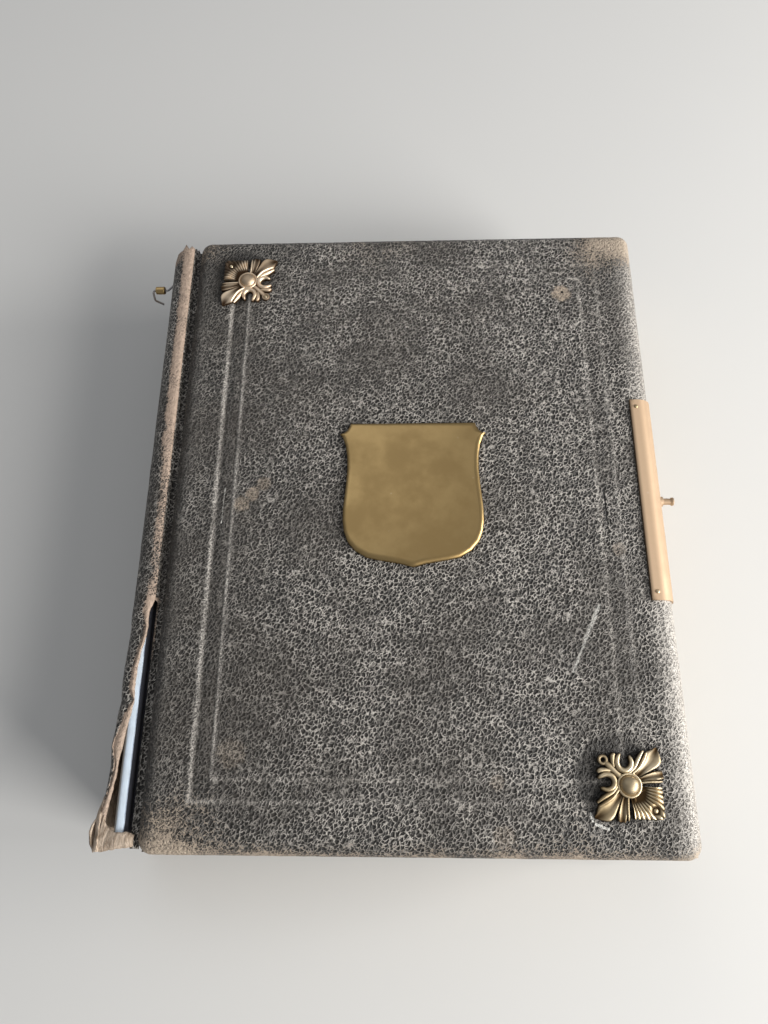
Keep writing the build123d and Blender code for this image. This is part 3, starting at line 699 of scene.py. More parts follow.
@dataclass
class Palette:
    """Every finish of the album, built once."""

    cover: bpy.types.Material
    back: bpy.types.Material
    spine: bpy.types.Material
    flesh: bpy.types.Material
    paper: bpy.types.Material
    leaves: bpy.types.Material
    shoulder_shade: bpy.types.Material
    lining: bpy.types.Material
    board: bpy.types.Material
    shield: bpy.types.Material
    mount: bpy.types.Material
    worn_mount: bpy.types.Material
    plate: bpy.types.Material
    steel: bpy.types.Material

    @classmethod
    def build(cls) -> "Palette":
        """Builds the shared groups and then each material."""
        fx = Effects.build()
        cover = LeatherFinish(
            "cover_leather",
            fx,
            spots=(
                Spot(71.0, 106.3, 4.5, 2.2),
                Spot(-66.2, 8.8, 3.4, 0.8),
                Spot(-71.0, 4.2, 3.6, 1.1),
                Spot(-75.4, -0.6, 3.8, 1.1),
                Spot(-72.0, -105.0, 6.0, 0.4),
                Spot(31.0, -115.0, 3.0, 0.5),
                Spot(33.0, -134.0, 4.5, 0.5),
                Spot(86.0, -22.0, 3.0, 0.5),
            ),
            # Painted shade inside two nail holes.
            shaded_holes=(Spot(71.3, 107.0, 0.75), Spot(71.3, -106.4, 0.7)),
            scratches=(
                Scratch((75.5, -46.0), (69.0, -60.0), 1.2, 0.62),
                Scratch((70.5, -57.0), (63.0, -73.0), 0.75, 0.55),
                Scratch((-83.4, 6.9), (-83.8, -9.5), 0.38, 0.75),
                Scratch((65.4, -125.6), (66.1, -128.4), 0.7, 1.5),
                Scratch((67.2, -129.6), (71.6, -131.0), 0.7, 1.5),
            ),
            dark_scratches=(Scratch((82.0, -8.0), (82.0, 5.0), 0.55),),
        )
        cream, fox = (0.620, 0.560, 0.440, 1.0), (0.380, 0.270, 0.150, 1.0)
        # The near-black colour is painted shade for the leaves' shoulder in the joint.
        card, shoulder_shade = (0.600, 0.530, 0.400, 1.0), (0.022, 0.024, 0.034, 1.0)
        board, spine_tan = (0.330, 0.270, 0.190, 1.0), (0.450, 0.338, 0.262, 1.0)
        return cls(
            cover.build(),
            LeatherFinish("back_leather", fx, height=0.0).build(),
            LeatherFinish("spine_leather", fx, tan=spine_tan, pitch=760.0, depth=0.28).build(),
            FleshFinish("torn_flesh", fx).build(),
            PaperFinish("pastedown_paper", fx, cream, fox).build(),
            PaperFinish("leaf_card", fx, card, fox, 0.6, 900.0).build(),
            PaperFinish("painted_shoulder_shade", fx, shoulder_shade, (0.014, 0.011, 0.008, 1.0)).build(),
            LiningFinish("spine_lining_paper", fx).build(),
            PaperFinish("cover_board", fx, board, (0.200, 0.150, 0.095, 1.0), 0.8, 700.0).build(),
            BrassFinish(
                "shield_brass", fx, (0.440, 0.305, 0.135, 1.0), (0.360, 0.245, 0.105, 1.0), rough=(0.34, 0.46)
            ).build(),
            BrassFinish(
                "mount_brass", fx, (0.760, 0.640, 0.450, 1.0), (0.440, 0.340, 0.200, 1.0), rough=(0.42, 0.58)
            ).build(),
            BrassFinish(
                "worn_mount_brass",
                fx,
                (0.860, 0.700, 0.520, 1.0), (0.580, 0.430, 0.290, 1.0),
                hollow_and_shade=(0.060, 0.034, 0.018, 1.0),
                rough=(0.44, 0.60),
            ).build(),
            BrassFinish(
                "plate_brass",
                fx,
                (0.600, 0.425, 0.275, 1.0), (0.560, 0.395, 0.255, 1.0),
                rough=(0.52, 0.62),
                metal=0.4,
            ).build(),
            SteelFinish("wire_steel", fx).build(),
        )


def paint(mesh: bpy.types.Mesh, name: str, value: Callable[[Vector], float]) -> None:
    """Paints a value on every vertex of a mesh.

    Args:
        mesh: The mesh.
        name: The attribute's name.
        value: Gives the value from the vertex's place in millimetres.
    """
    layer = mesh.attributes.new(name, "FLOAT", "POINT")
    layer.data.foreach_set("value", [value(v.co / MM) for v in mesh.vertices])


def finish_piece(
    bm: bmesh.types.BMesh,
    name: str,
    body: Body,
    materials: Sequence[bpy.types.Material],
    slot: Slot,
    nodes: Sequence[str] = (),
    sharp: float = 40.0,
    ride: bool = True,
) -> bpy.types.Object:
    """Turns a bmesh into a piece that rides on a body.

    Args:
        bm: The mesh, in metres, which is freed.
        name: The piece's name.
        body: The body that it moves with.
        materials: Its material slots.
        slot: Not used.
        nodes: CAD nodes that it stands for.
        sharp: Edges past this angle, in degrees, stay sharp.
        ride: Whether it rides on the body now.

    Returns:
        The object.
    """
    mesh = bpy.data.meshes.new(name)
    bm.to_mesh(mesh)
    bm.free()
    for material in materials:
        mesh.materials.append(material)
    mesh.shade_smooth()
    mesh.set_sharp_from_angle(angle=math.radians(sharp))
    obj = bpy.data.objects.new(name, mesh)
    bpy.context.scene.collection.objects.link(obj)
    if ride:
        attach(obj, body.value)
    if nodes:
        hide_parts(*nodes)
    LOG.info("%s: %d faces on %s", name, len(mesh.polygons), body.value)
    return obj


def eased(bm: bmesh.types.BMesh, edges: Sequence[bmesh.types.BMEdge], width: float, segments: int) -> None:
    """Rounds edges off.

    Args:
        bm: The mesh.
        edges: The edges.
        width: The bevel's width in millimetres.
        segments: How many faces the rounding has.
    """
    bmesh.ops.bevel(
        bm,
        geom=edges,
        offset=width * MM,
        segments=segments,
        profile=0.5,
        affect="EDGES",
        clamp_overlap=True,
        material=-1,
    )


def softened(node: str, ease: float, sharp: float = 30.0) -> bmesh.types.BMesh:
    """A copy of a CAD node with its corners eased.

    Args:
        node: The CAD node.
        ease: The bevel's width in millimetres.
        sharp: Edges past this angle, in degrees, are eased.

    Returns:
        The copy.
    """
    bm = bmesh.new()
    bm.from_mesh(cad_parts[node].data)
    bmesh.ops.remove_doubles(bm, verts=bm.verts, dist=0.002 * MM)
    bmesh.ops.dissolve_limit(bm, angle_limit=math.radians(0.5), verts=bm.verts, edges=bm.edges)
    limit = math.radians(sharp)
    corners = [e for e in bm.edges if len(e.link_faces) == 2 and e.calc_face_angle(0.0) > limit]
    eased(bm, corners, ease, 2)
    return bm


def edges_of(verts: Sequence[bmesh.types.BMVert]) -> list[bmesh.types.BMEdge]:
    """The edges at some vertices, each once and always in the same order."""
    return list(dict.fromkeys(e for v in verts for e in v.link_edges))


def swept(bm: bmesh.types.BMesh, rings: Sequence[Sequence[Vector]]) -> None:
    """Sweeps a closed section through a row of rings and caps both ends.

    Args:
        bm: The mesh to add to.
        rings: Rings of equally many points.
    """
    loop = bmesh.ops.create_circle(bm, cap_ends=False, radius=1.0, segments=len(rings[0]))["verts"]
    for vert, point in zip(loop, rings[0]):
        vert.co = point
    edges = edges_of(loop)
    start = list(loop)
    for ring in rings[1:]:
        made = bmesh.ops.extrude_edge_only(bm, edges=edges)["geom"]
        fresh = [g for g in made if isinstance(g, bmesh.types.BMVert)]
        edges = [g for g in made if isinstance(g, bmesh.types.BMEdge)]
        ordered = []
        for old in loop:
            ordered.append(next(e.other_vert(old) for e in old.link_edges if e.other_vert(old) in fresh))
        loop = ordered
        for vert, point in zip(loop, ring):
            vert.co = point
    for end in (start, loop):
        bm.faces.new(end)


def grid(
    bm: bmesh.types.BMesh, across: int, rows: int, place: Callable[[int, int], Vector]
) -> list[bmesh.types.BMVert]:
    """Adds a grid of points and puts each one in its place.

    Args:
        bm: The mesh to add to.
        across: Points in a row.
        rows: How many rows.
        place: Gives a point's place, in metres, from its number in the row and its row's number.

    Returns:
        The grid's vertices.
    """
    verts = bmesh.ops.create_grid(bm, x_segments=across - 1, y_segments=rows - 1, size=1.0)["verts"]
    for vert in verts:
        i = round((vert.co.x + 1) / 2 * (across - 1))
        j = round((vert.co.y + 1) / 2 * (rows - 1))
        vert.co = place(i, j)
    return verts


def skinned(obj: bpy.types.Object, thick: float, inner: int = 0, rim: int = 0) -> None:
    """Gives a sheet its thickness inwards.

    Args:
        obj: The sheet.
        thick: Its thickness in millimetres.
        inner: How many material slots further on the inner side's finish lies.
        rim: The same for the rim.
    """
    wall = obj.modifiers.new("skin", "SOLIDIFY")
    wall.thickness = thick * MM
    wall.offset = -1.0
    wall.material_offset = inner
    wall.material_offset_rim = rim


@dataclass
class CoverLeather:
    """One cover's leather: a sheet drawn over the board's rounded edges, with its turn-ins inside."""

    body: Body
    node: str
    outer_z: float
    up: float
    tooled: bool
    half_w: float = 106.75
    half_h: float = 142.0
    edge_r: float = 6.0
    inner_r: float = 0.6
    thick: float = 8.5
    lip: float = 0.5
    skin: float = 0.6
    turn_in: float = 14.0
    rim: float = 0.9
    slack: float = 0.1
    sunk: float = 0.02
    pitch: float = 2.6
    closest: float = 0.12
    insets: Pair = (19.3, 27.5)
    line: float = 0.9
    line_rise: float = 0.14
    groove: float = 1.3
    groove_depth: float = 0.24
    strip_depth: float = 0.12
    strip_ease: float = 1.6
    lasted: Quad = (1.0, 0.45, 0.35, 0.12)
    sag: float = 0.10
    swell: Pair = (0.10, 34.0)
    pucker: Pair = (0.05, 9.0)
    edge_wave: float = 0.12
    edge_wear: float = 4.0
    edge_rub: Triple = (0.20, 0.10, 12.0)
    tail_rub: tuple[Triple, ...] = ((0.35, 134.0, 139.0), (0.4, 139.0, 141.8))
    back_rub: Quad = (105.0, 140.0, 8.0, 0.3)
    # Wear and painted sheen on the rounded edges: shares, where it starts, how it grows towards the tail, and
    # how little on the spine side and the back.
    rub_and_sheen: Pair = (0.62, 0.32)
    rub_and_sheen_from: Pair = (13.0, 3.0)
    rub_and_sheen_rise: Pair = (-40.0, 90.0)
    little_rub_and_sheen: Pair = (0.1, 0.3)
    # Painted shadow with dirt round the mounts, then darker tones along the joint, near the tail and on the
    # spine's side.
    mount_shadow_and_dirt: Pair = (13.5, 19.0)
    joint_darkening: Triple = (0.75, -104.0, -91.0)
    tail_darkening: Quad = (-86.0, -118.0, 30.0, 0.5)
    spine_side_darkening: Triple = (0.44, 10.0, 90.0)
    line_grid: tuple[float, ...] = (0.0, 0.3, 0.6, 1.0, 1.5, 2.2)
    slot_x: Pair = (101.0, 105.0)
    slot_y: Pair = (-5.8, 8.2)
    # Centres of the painted shadow with dirt, up and to the left of each mount.
    shadow_and_dirt_at: tuple[Pair, ...] = ((-84.5, 118.0), (76.5, -113.6))
    worn: tuple[Quad, ...] = (
        (103.0, 139.0, 13.0, 1.0), (91.0, 135.0, 12.0, 0.6), (90.0, 124.0, 13.0, 0.36),
        (106.5, -141.5, 6.0, 1.0), (-102.0, -138.0, 13.0, 0.62), (-86.0, -134.0, 15.0, 0.36),
        (-103.0, 138.0, 10.0, 0.6), (60.0, -139.0, 14.0, 0.3), (-20.0, 139.0, 20.0, 0.25),
    )

    def _stations(self, half: float) -> list[float]:
        """Grid lines across the sheet, close together on the edges and the tooled lines."""
        flat = half - self.edge_r
        arc = self.edge_r * math.pi / 2
        drop = self.thick - self.edge_r - self.inner_r
        ease = self.inner_r * math.pi / 2
        places = {0.0, flat}
        places.update(i * self.pitch for i in range(1, int(flat / self.pitch)))
        if self.tooled:
            for inset in self.insets:
                places.update(half - inset + sign * off for off in self.line_grid for sign in (-1, 1))
        places.update(flat + arc * i / 10 for i in range(1, 11))
        places.update((flat + arc + drop / 2, flat + arc + drop))
        places.update(flat + arc + drop + ease * i / 3 for i in range(1, 4))
        places.add(flat + arc + drop + ease + self.lip)
        ordered = sorted(places)
        kept = [ordered[0]]
        for place in ordered[1:]:
            if place - kept[-1] > self.closest:
                kept.append(place)
        return [-p for p in reversed(kept[1:])] + kept

    def _frame_distance(self, x: float, y: float, inset: float) -> float:
        """Distance from a point to one line of the tooled frame."""
        return max(abs(x) - (self.half_w - inset), abs(y) - (self.half_h - inset))

    def _relief(self, x: float, y: float) -> float:
        """How far the leather's face stands above or below its plane."""
        (swell, broad), (pucker, fine) = self.swell, self.pucker
        lift = -self.sag - swell * ripple(x, y, 0.0, broad) - pucker * ripple(x, y, 9.0, fine)
        if self.tooled:
            kept = self._kept(x, y)
            for inset in self.insets:
                d = self._frame_distance(x, y, inset)
                side = self.groove if inset == self.insets[0] else -self.groove
                line = self.line_rise * bell(d - 0.1, self.line)
                lift += kept * (line - self.groove_depth * bell(d + side, self.line))
            outer, inner = (self._frame_distance(x, y, inset) for inset in self.insets)
            strip = smooth(-outer, 0.0, self.strip_ease) * smooth(inner, 0.0, self.strip_ease)
            lift -= self.strip_depth * kept * strip
        return min(lift, 0.0)

    def _drawn(self, s: float, t: float) -> Vector:
        """Where a point of the flat sheet lies once it is drawn over the board."""
        a, b = self.half_w - self.edge_r, self.half_h - self.edge_r
        cs, ct = min(max(s, -a), a), min(max(t, -b), b)
        off = Vector((s - cs, t - ct))
        run = max(abs(off.x), abs(off.y))
        if run == 0.0:
            return Vector((s, t, self.outer_z + self.up * self._relief(s, t)))
        way = off.normalized()
        arc = self.edge_r * math.pi / 2
        drop = self.thick - self.edge_r - self.inner_r
        ease = self.inner_r * math.pi / 2
        if run <= arc:
            turn = run / self.edge_r
            out, down = self.edge_r * math.sin(turn), self.edge_r * (1 - math.cos(turn))
            down -= self._relief(cs, ct) * math.cos(turn)
        elif run <= arc + drop:
            out, down = self.edge_r, self.edge_r + run - arc
        elif run <= arc + drop + ease:
            turn = (run - arc - drop) / self.inner_r
            out = self.edge_r - self.inner_r * (1 - math.cos(turn))
            down = self.edge_r + drop + self.inner_r * math.sin(turn)
        else:
            out, down = self.edge_r - self.inner_r - (run - arc - drop - ease), self.thick
        out += self.edge_wave * ripple(cs, ct, run, 5.0) * smooth(run, 0.0, 4.0) - self.slack
        return Vector((cs + way.x * out, ct + way.y * out, self.outer_z - self.up * down))

    def _turn_ins(self, bm: bmesh.types.BMesh) -> list[bmesh.types.BMVert]:
        """Adds the flat turn-ins round the inside, with the hook's slot in the fore edge."""
        side, end = self.half_w - self.rim, self.half_h - self.rim
        fore, deep = self.half_w - self.turn_in, self.half_h - self.turn_in
        strips = [(-side, deep, side, end), (-side, -end, side, -deep)]
        if self.tooled:
            strips += [
                (fore, -deep, self.slot_x[0], deep),
                (self.slot_x[1], -deep, side, deep),
                (self.slot_x[0], -deep, self.slot_x[1], self.slot_y[0]),
                (self.slot_x[0], self.slot_y[1], self.slot_x[1], deep),
            ]
        else:
            strips.append((fore, -deep, side, deep))
        z = (self.outer_z - self.up * (self.thick - self.sunk)) * MM
        made = []
        for x0, y0, x1, y1 in strips:
            verts = bmesh.ops.create_grid(bm, x_segments=1, y_segments=1, size=1.0)["verts"]
            for vert in verts:
                vert.co = Vector(((x0 if vert.co.x < 0 else x1) * MM, (y0 if vert.co.y < 0 else y1) * MM, z))
            made += verts
        return made

    def _wear(self, p: Vector) -> float:
        """How far the grain is worn through at a point."""
        past = max(abs(p.x) - self.half_w, abs(p.y) - self.half_h)
        edge = max(past + self.edge_wear, 0.0) / self.edge_wear
        rub, patchy, pitch = self.edge_rub
        wear = rub * edge + patchy * ripple(p.x, p.y, p.z, pitch) * edge
        if self.tooled:
            wear += sum(share * bell(math.hypot(p.x - x, p.y - y), reach) for x, y, reach, share in self.worn)
            tail = sum(ramp(-p.y, rub) for rub in self.tail_rub)
            wear += tail * (0.75 + 0.6 * ripple(p.x, 0.0, 3.0, 16.0))
        else:
            x, y, reach, share = self.back_rub
            wear += share * bell(math.hypot(abs(p.x) - x, abs(p.y) - y), reach)
        return max(wear, 0.0)

    def _pressed(self, p: Vector) -> float:
        """How flat the grain is pressed between the tooled lines."""
        if not self.tooled:
            return 0.0
        outer, inner = (self._frame_distance(p.x, p.y, inset) for inset in self.insets)
        return smooth(-outer, -0.2, 1.2) * smooth(inner, -0.2, 1.2) * self._kept(p.x, p.y)

    def _lines_and_sheen(self, p: Vector) -> float:
        """How pale the tooled lines are worn, and how pale the rounded edges are worn with a painted sheen,
        most on the fore edge.
        """
        edge = smooth(abs(p.x), *(self.half_w - inset for inset in self.rub_and_sheen_from))
        spine, back = self.little_rub_and_sheen
        if not self.tooled:
            return back * edge
        held, more = self.rub_and_sheen
        # Wear and painted sheen on the rounded edges, most on the fore edge and growing towards the tail.
        rub_and_sheen = edge * (held + ramp(-p.y, (more, *self.rub_and_sheen_rise))) if p.x > 0 else spine * edge
        if abs(p.z - self.outer_z) > 1.0:
            return rub_and_sheen
        total = sum(bell(self._frame_distance(p.x, p.y, inset), self.line) for inset in self.insets)
        return rub_and_sheen + total * self._kept(p.x, p.y) * (0.75 + 0.5 * ripple(p.x, p.y, 4.0, 15.0))

    def _shade_and_grime(self, p: Vector) -> float:
        """Painted shadow with dirt up and to the left of the two mounts, and a darker tone along the joint,
        near the tail and on the spine's side of the cover.
        """
        if not self.tooled:
            return 0.0
        # Painted shadow of each mount, with dirt, falling up and to the left of it.
        mounts = max(1.0 - smooth(math.hypot(p.x - x, p.y - y), *self.mount_shadow_and_dirt) for x, y in self.shadow_and_dirt_at)
        # Darker along the joint, round a patch near the tail's spine-side corner, and towards the spine's
        # side.
        most, *limits = self.joint_darkening
        joint = most * (1.0 - smooth(p.x + 3.0 * ripple(p.x, p.y, 6.0, 11.0), *limits))
        x, y, reach, share = self.tail_darkening
        tail = share * bell(math.hypot(p.x - x, p.y - y), reach)
        return max(mounts, joint, tail, ramp(-p.x, self.spine_side_darkening))

    def _kept(self, x: float, y: float) -> float:
        """How well the tooling has lasted: clear beside the spine, faint at the fore edge and the tail."""
        spine, fore, tail, head = self.lasted
        if abs(x) > self.half_w - self.insets[1] - 3.0:
            return spine if x < 0 else fore
        return tail if y < 0 else head

    def build(self, material: bpy.types.Material) -> bpy.types.Object:
        """Builds and dresses the cover's leather.

        Args:
            material: The leather.

        Returns:
            The piece.
        """
        xs, ys = self._stations(self.half_w), self._stations(self.half_h)
        bm = bmesh.new()
        grid(bm, len(xs), len(ys), lambda i, j: self._drawn(xs[i], ys[j]) * MM)
        if self.up < 0:
            bmesh.ops.reverse_faces(bm, faces=bm.faces)
        inside = self._turn_ins(bm)
        if self.up > 0:
            bmesh.ops.reverse_faces(bm, faces=list(dict.fromkeys(f for v in inside for f in v.link_faces)))
        obj = finish_piece(bm, self.node, self.body, [material], Slot.LEATHER, [self.node], 60.0)
        fields = {"wear": self._wear, "pressed": self._pressed, "lines": self._lines_and_sheen, "shade_and_grime": self._shade_and_grime}
        for name, value in fields.items():
            paint(obj.data, name, value)
        skinned(obj, self.skin)
        return obj


@dataclass
class SpineLeather:
    """The torn leather spine: the wrap round the leaves, its two joints, and the scraps at its tail."""

    side_x: float = -121.0
    ridge_z: float = 56.4
    roll: float = 8.5
    crest_x: float = -112.5
    skin: float = 1.1
    head_y: float = 141.0
    tail_y: float = -141.2
    tear_y: float = -41.5
    album: float = 58.0
    step: float = 1.5
    puff: float = 0.12
    belly: float = 0.5
    ragged: Pair = (0.35, 0.55)
    tear_run: float = 8.5
    lip: int = 4
    lip_fade: int = 15
    fray: Pair = (4.0, 3.1)
    side_fray: Triple = (5.0, 114.0, 121.0)
    jag: Triple = (0.9, 41.0, 67.0)
    tail_fray: Pair = (1.3, 2.2)
    tail_lift: Triple = (1.2, -120.0, -112.0)
    frayed_from: Pair = (0.95, 0.9)
    short: float = 8.6
    joint_skin: float = 0.9
    joint_rows: int = 15
    scrap_skin: float = 0.8
    bend: Pair = (-110.2, -107.2)
    browner: Triple = (0.42, -60.0, 25.0)
    band_x: float = -115.0
    band_z: Pair = (54.4, 55.6)
    band_narrows: Triple = (1.6, -50.0, 35.0)
    head_wear: Pair = (127.0, 133.0)
    head_slant: Triple = (4.0, -119.0, -112.0)
    head_rise: Pair = (38.0, 50.0)
    tail_wear: Triple = (0.25, 136.0, 140.0)
    crest_wear: Triple = (1.1, 54.9, 55.5)
    split_wear: Triple = (0.9, 52.2, 53.0)
    split_from: Pair = (-78.0, -66.0)
    torn: tuple[Quad, ...] = (
        (-127.1, -120.2, -123.0, 53.5), (-124.1, -119.6, -121.7, 53.5), (-119.0, -118.7, -120.4, 53.7),
        (-113.9, -118.1, -119.5, 53.8), (-108.9, -117.7, -119.1, 54.0), (-106.3, -117.4, -119.7, 54.1),
        (-102.3, -116.7, -120.7, 54.2), (-100.3, -116.5, -120.5, 54.2), (-95.7, -115.9, -118.6, 54.4),
        (-90.7, -115.1, -117.8, 54.5), (-87.2, -114.5, -116.0, 54.6), (-84.1, -114.0, -114.4, 54.7),
        (-82.6, -114.3, -115.2, 54.8), (-79.6, -114.5, -116.2, 54.9), (-75.6, -114.3, -116.5, 55.0),
        (-70.5, -114.1, -116.0, 55.1), (-64.5, -113.3, -114.5, 55.3), (-57.5, -111.8, -113.1, 55.5),
        (-53.5, -111.4, -112.8, 55.6), (-50.5, -111.7, -113.4, 55.7), (-46.5, -111.8, -114.3, 55.9),
        (-43.5, -111.8, -114.1, 55.9), (-41.5, -111.8, -112.0, 56.0),
    )
    joint: tuple[Pair, ...] = (
        (-111.6, 55.7), (-110.5, 55.5), (-109.8, 54.6), (-109.5, 53.4), (-109.0, 52.4), (-108.1, 51.9),
        (-106.85, 52.1),
    )

    def _whole(self, count: int) -> list[Pair]:
        """The wrap's section where it isn't torn, from its front crest round to its back crest."""
        top, low = self.ridge_z, self.album - self.ridge_z
        path = [(-109.75, top - 1.0), (-110.3, top - 0.35), (-111.2, top - 0.06)]
        for a in (math.radians(90 + 90 * i / 8) for i in range(9)):
            path.append((self.crest_x + self.roll * math.cos(a), top - self.roll + self.roll * math.sin(a)))
        front = len(path)
        rows = count - 2 * front
        z0, z1 = top - self.roll, low + self.roll
        for i in range(1, rows + 1):
            z = z0 + (z1 - z0) * i / (rows + 1)
            path.append((self.side_x - self.belly * math.sin(math.pi * i / (rows + 1)), z))
        path += [(x, self.album - z) for x, z in reversed(path[:front])]
        return path

    def _torn_section(self, y: float, whole: Sequence[Pair]) -> list[Pair]:
        """The wrap's section across the tear: a lifted torn edge that falls back to the whole wrap below."""
        inner, outer, z = along(self.torn, y)
        inner += self.ragged[0] * ripple(0.0, y, 7.0, 1.9)
        outer += self.ragged[1] * ripple(0.0, y, 3.0, 2.3)
        down = smooth(-y, -self.tear_y, self.tear_run - self.tear_y)
        near, far = (2 * inner + outer) / 3, (inner + 2 * outer) / 3
        edge = [(inner, z - 0.5), (near, z + 0.1), (far, z + 0.1), (outer, z - 0.5)]
        last = self.lip - 1
        section = []
        for k, (x0, z0) in enumerate(whole):
            if k < self.lip:
                x1, z1 = edge[k]
            else:
                fade = (1.0 - min((k - last) / self.lip_fade, 1.0)) ** 3
                x1 = x0 + (outer - whole[last][0]) * fade
                z1 = z0 + (edge[last][1] - whole[last][1]) * fade
            section.append((x0 + (x1 - x0) * down, z0 + (z1 - z0) * down))
        return section

    def _rows(self) -> list[float]:
        """Where the sections stand along the spine."""
        count = round((self.head_y - self.tail_y) / self.step)
        return [self.tail_y + (self.head_y - self.tail_y) * i / count for i in range(count + 1)]

    def _frayed(self, x: float, z: float, y: float) -> float:
        """A row's place along the spine, with the frayed head and the uneven tail worked in."""
        size, by_x, by_z = self.jag
        jag = size + size * math.sin(by_x * x + by_z * z)
        long, pitch = self.fray
        head = self.head_y - ramp(-x, self.side_fray) - jag - long * abs(ripple(x, z, 2.0, pitch))
        long, pitch = self.tail_fray
        tail = self.tail_y + long * abs(ripple(x, z, 5.0, pitch)) + ramp(x, self.tail_lift)
        t = (y - self.tail_y) / (self.head_y - self.tail_y)
        head_from, tail_from = self.frayed_from
        if t > head_from:
            return y + (head - self.head_y) * smooth(t, head_from, 1.0)
        return y + (tail - self.tail_y) * smooth(1.0 - t, tail_from, 1.0)

    def _sheet(self, rows: Sequence[float], sections: Sequence[Sequence[Pair]]) -> bmesh.types.BMesh:
        """A sheet drawn through a section at each row.

        Args:
            rows: Where the sections stand along the spine.
            sections: Equally many points each.

        Returns:
            The sheet, its outer side up.
        """

        def place(i: int, j: int) -> Vector:
            """A point of the sheet."""
            x, z = sections[j][i]
            y = self._frayed(x, z, rows[j])
            return mm(x - self.puff * ripple(x, y, z, 9.0), y, z)

        bm = bmesh.new()
        grid(bm, len(sections[0]), len(rows), place)
        bm.normal_update()
        middle = mm(self.crest_x + 8.0, 0.0, self.album / 2)
        outward = 0.0
        for face in bm.faces:
            away = face.calc_center_median() - middle
            outward += face.normal.x * away.x + face.normal.z * away.z
        if outward < 0:
            bmesh.ops.reverse_faces(bm, faces=bm.faces)
        return bm

    def _fresh(self, y: float) -> float:
        """How bare the front ridge is: pale towards the head, browner towards the tear."""
        return 1.0 - ramp(-y, self.browner)

    def _ridge_wear(self, p: Vector) -> float:
        """Wear on the spine: a bare band along the front ridge, the frayed head and the torn edge."""
        left = self.band_x + ramp(-p.y, self.band_narrows) + 0.8 * ripple(0.0, p.y, 1.0, 7.0)
        band = smooth(p.z, *self.band_z) * smooth(p.x, left, left + 1.0)
        band = band * self._fresh(p.y) if p.y > self.tear_y else 0.0
        head = smooth(p.y - ramp(p.x, self.head_slant), *self.head_wear) * smooth(p.z, *self.head_rise)
        _, outer, z = along(self.torn, p.y)
        rip = 0.0
        if p.y < self.tear_y:
            rip = smooth(p.x, outer - 0.7, outer + 0.1) * smooth(p.z, z - 2.5, z - 0.8)
        return min(max(1.15 * band, head, ramp(-p.y, self.tail_wear), 1.2 * rip), 1.2)

    def _joint_wear(self, p: Vector) -> float:
        """Wear on a joint: the bare crest above the tear, and the split edge at the tear's upper end."""
        if p.y > self.tear_y:
            return ramp(p.z, self.crest_wear) * self._fresh(p.y)
        return ramp(p.z, self.split_wear) * smooth(p.y, *self.split_from)

    def wrap(self, palette: Palette) -> bpy.types.Object:
        """The leather round the back of the leaves."""
        rows = self._rows()
        whole = self._whole(50)
        sections = [self._torn_section(y, whole) for y in rows]
        bm = self._sheet(rows, sections)
        dress = [palette.spine, palette.flesh]
        obj = finish_piece(bm, "spine_wrap", Body.LEAVES, dress, Slot.SPINE, ["spine_leather"], 70.0)
        self._paint(obj, self._ridge_wear)
        skinned(obj, self.skin, 1, 1)
        return obj

    def _paint(self, obj: bpy.types.Object, wear: Callable[[Vector], float]) -> None:
        """Paints the wear that the leather finish reads."""
        paint(obj.data, "wear", wear)
        for name in ("pressed", "lines", "shade_and_grime"):
            paint(obj.data, name, lambda p: 0.0)

    def _joint(
        self, name: str, cover: Body, sections: Sequence[Sequence[Pair]], palette: Palette
    ) -> bpy.types.Object:
        """A joint's leather, between the leaves and a cover.

        Args:
            name: The piece's name.
            cover: Not used.
            sections: Its section at each row.
            palette: The finishes.

        Returns:
            The piece.
        """
        bm = self._sheet(self._rows(), sections)
        dress = [palette.spine, palette.flesh]
        obj = finish_piece(bm, name, Body.LEAVES, dress, Slot.SPINE, (), 70.0, False)
        self._paint(obj, self._joint_wear)
        skinned(obj, self.joint_skin, 1)
        start, end = (mm(x, 0, 0) for x in self.bend)
        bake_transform(obj)
        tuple(start)
        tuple(end)
        return obj

    def front_joint(self, palette: Palette) -> bpy.types.Object:
        """The leather from the ridge down into the front joint, cut short along the tear."""
        last = self.joint_rows - 1
        path = [(k, *p) for k, p in enumerate(curve_through(self.joint, self.joint_rows))]
        sections = []
        for y in self._rows():
            cut = smooth(-y, -self.tear_y, 2.0 - self.tear_y)
            start = cut * (self.short + self.ragged[0] * ripple(0.0, y, 0.0, 2.5))
            sections.append([along(path, start + (last - start) * k / last) for k in range(self.joint_rows)])
        return self._joint("front_joint_leather", Body.FRONT, sections, palette)

    def back_joint(self, palette: Palette) -> bpy.types.Object:
        """The same joint on the back cover."""
        path = curve_through([(x, self.album - z) for x, z in self.joint], self.joint_rows)
        return self._joint("back_joint_leather", Body.BACK, [path] * len(self._rows()), palette)

    def _scrap(
        self, name: str, outline: Sequence[Sequence[float]], count: int, palette: Palette
    ) -> bpy.types.Object:
        """A torn scrap drawn between two ragged edges.

        Args:
            name: The piece's name.
            outline: Rows of x, y, z on one edge and x, y, z on the other.
            count: How many rows to draw.
            palette: The finishes.

        Returns:
            The piece.
        """
        rows = curve_through(outline, count)
        across = 6

        def place(i: int, j: int) -> Vector:
            """A point of the scrap."""
            t = i / across
            a, b = Vector(rows[j][:3]), Vector(rows[j][3:])
            p = a.lerp(b, t)
            ragged = (2.0 * t - 1.0) ** 2
            p += (b - a).normalized() * 0.5 * ragged * ripple(p.x, p.y, p.z, 1.6)
            p.z += 0.5 * math.sin(math.pi * t) + 0.2 * ripple(p.x, p.y, 1.0, 2.4)
            return p * MM

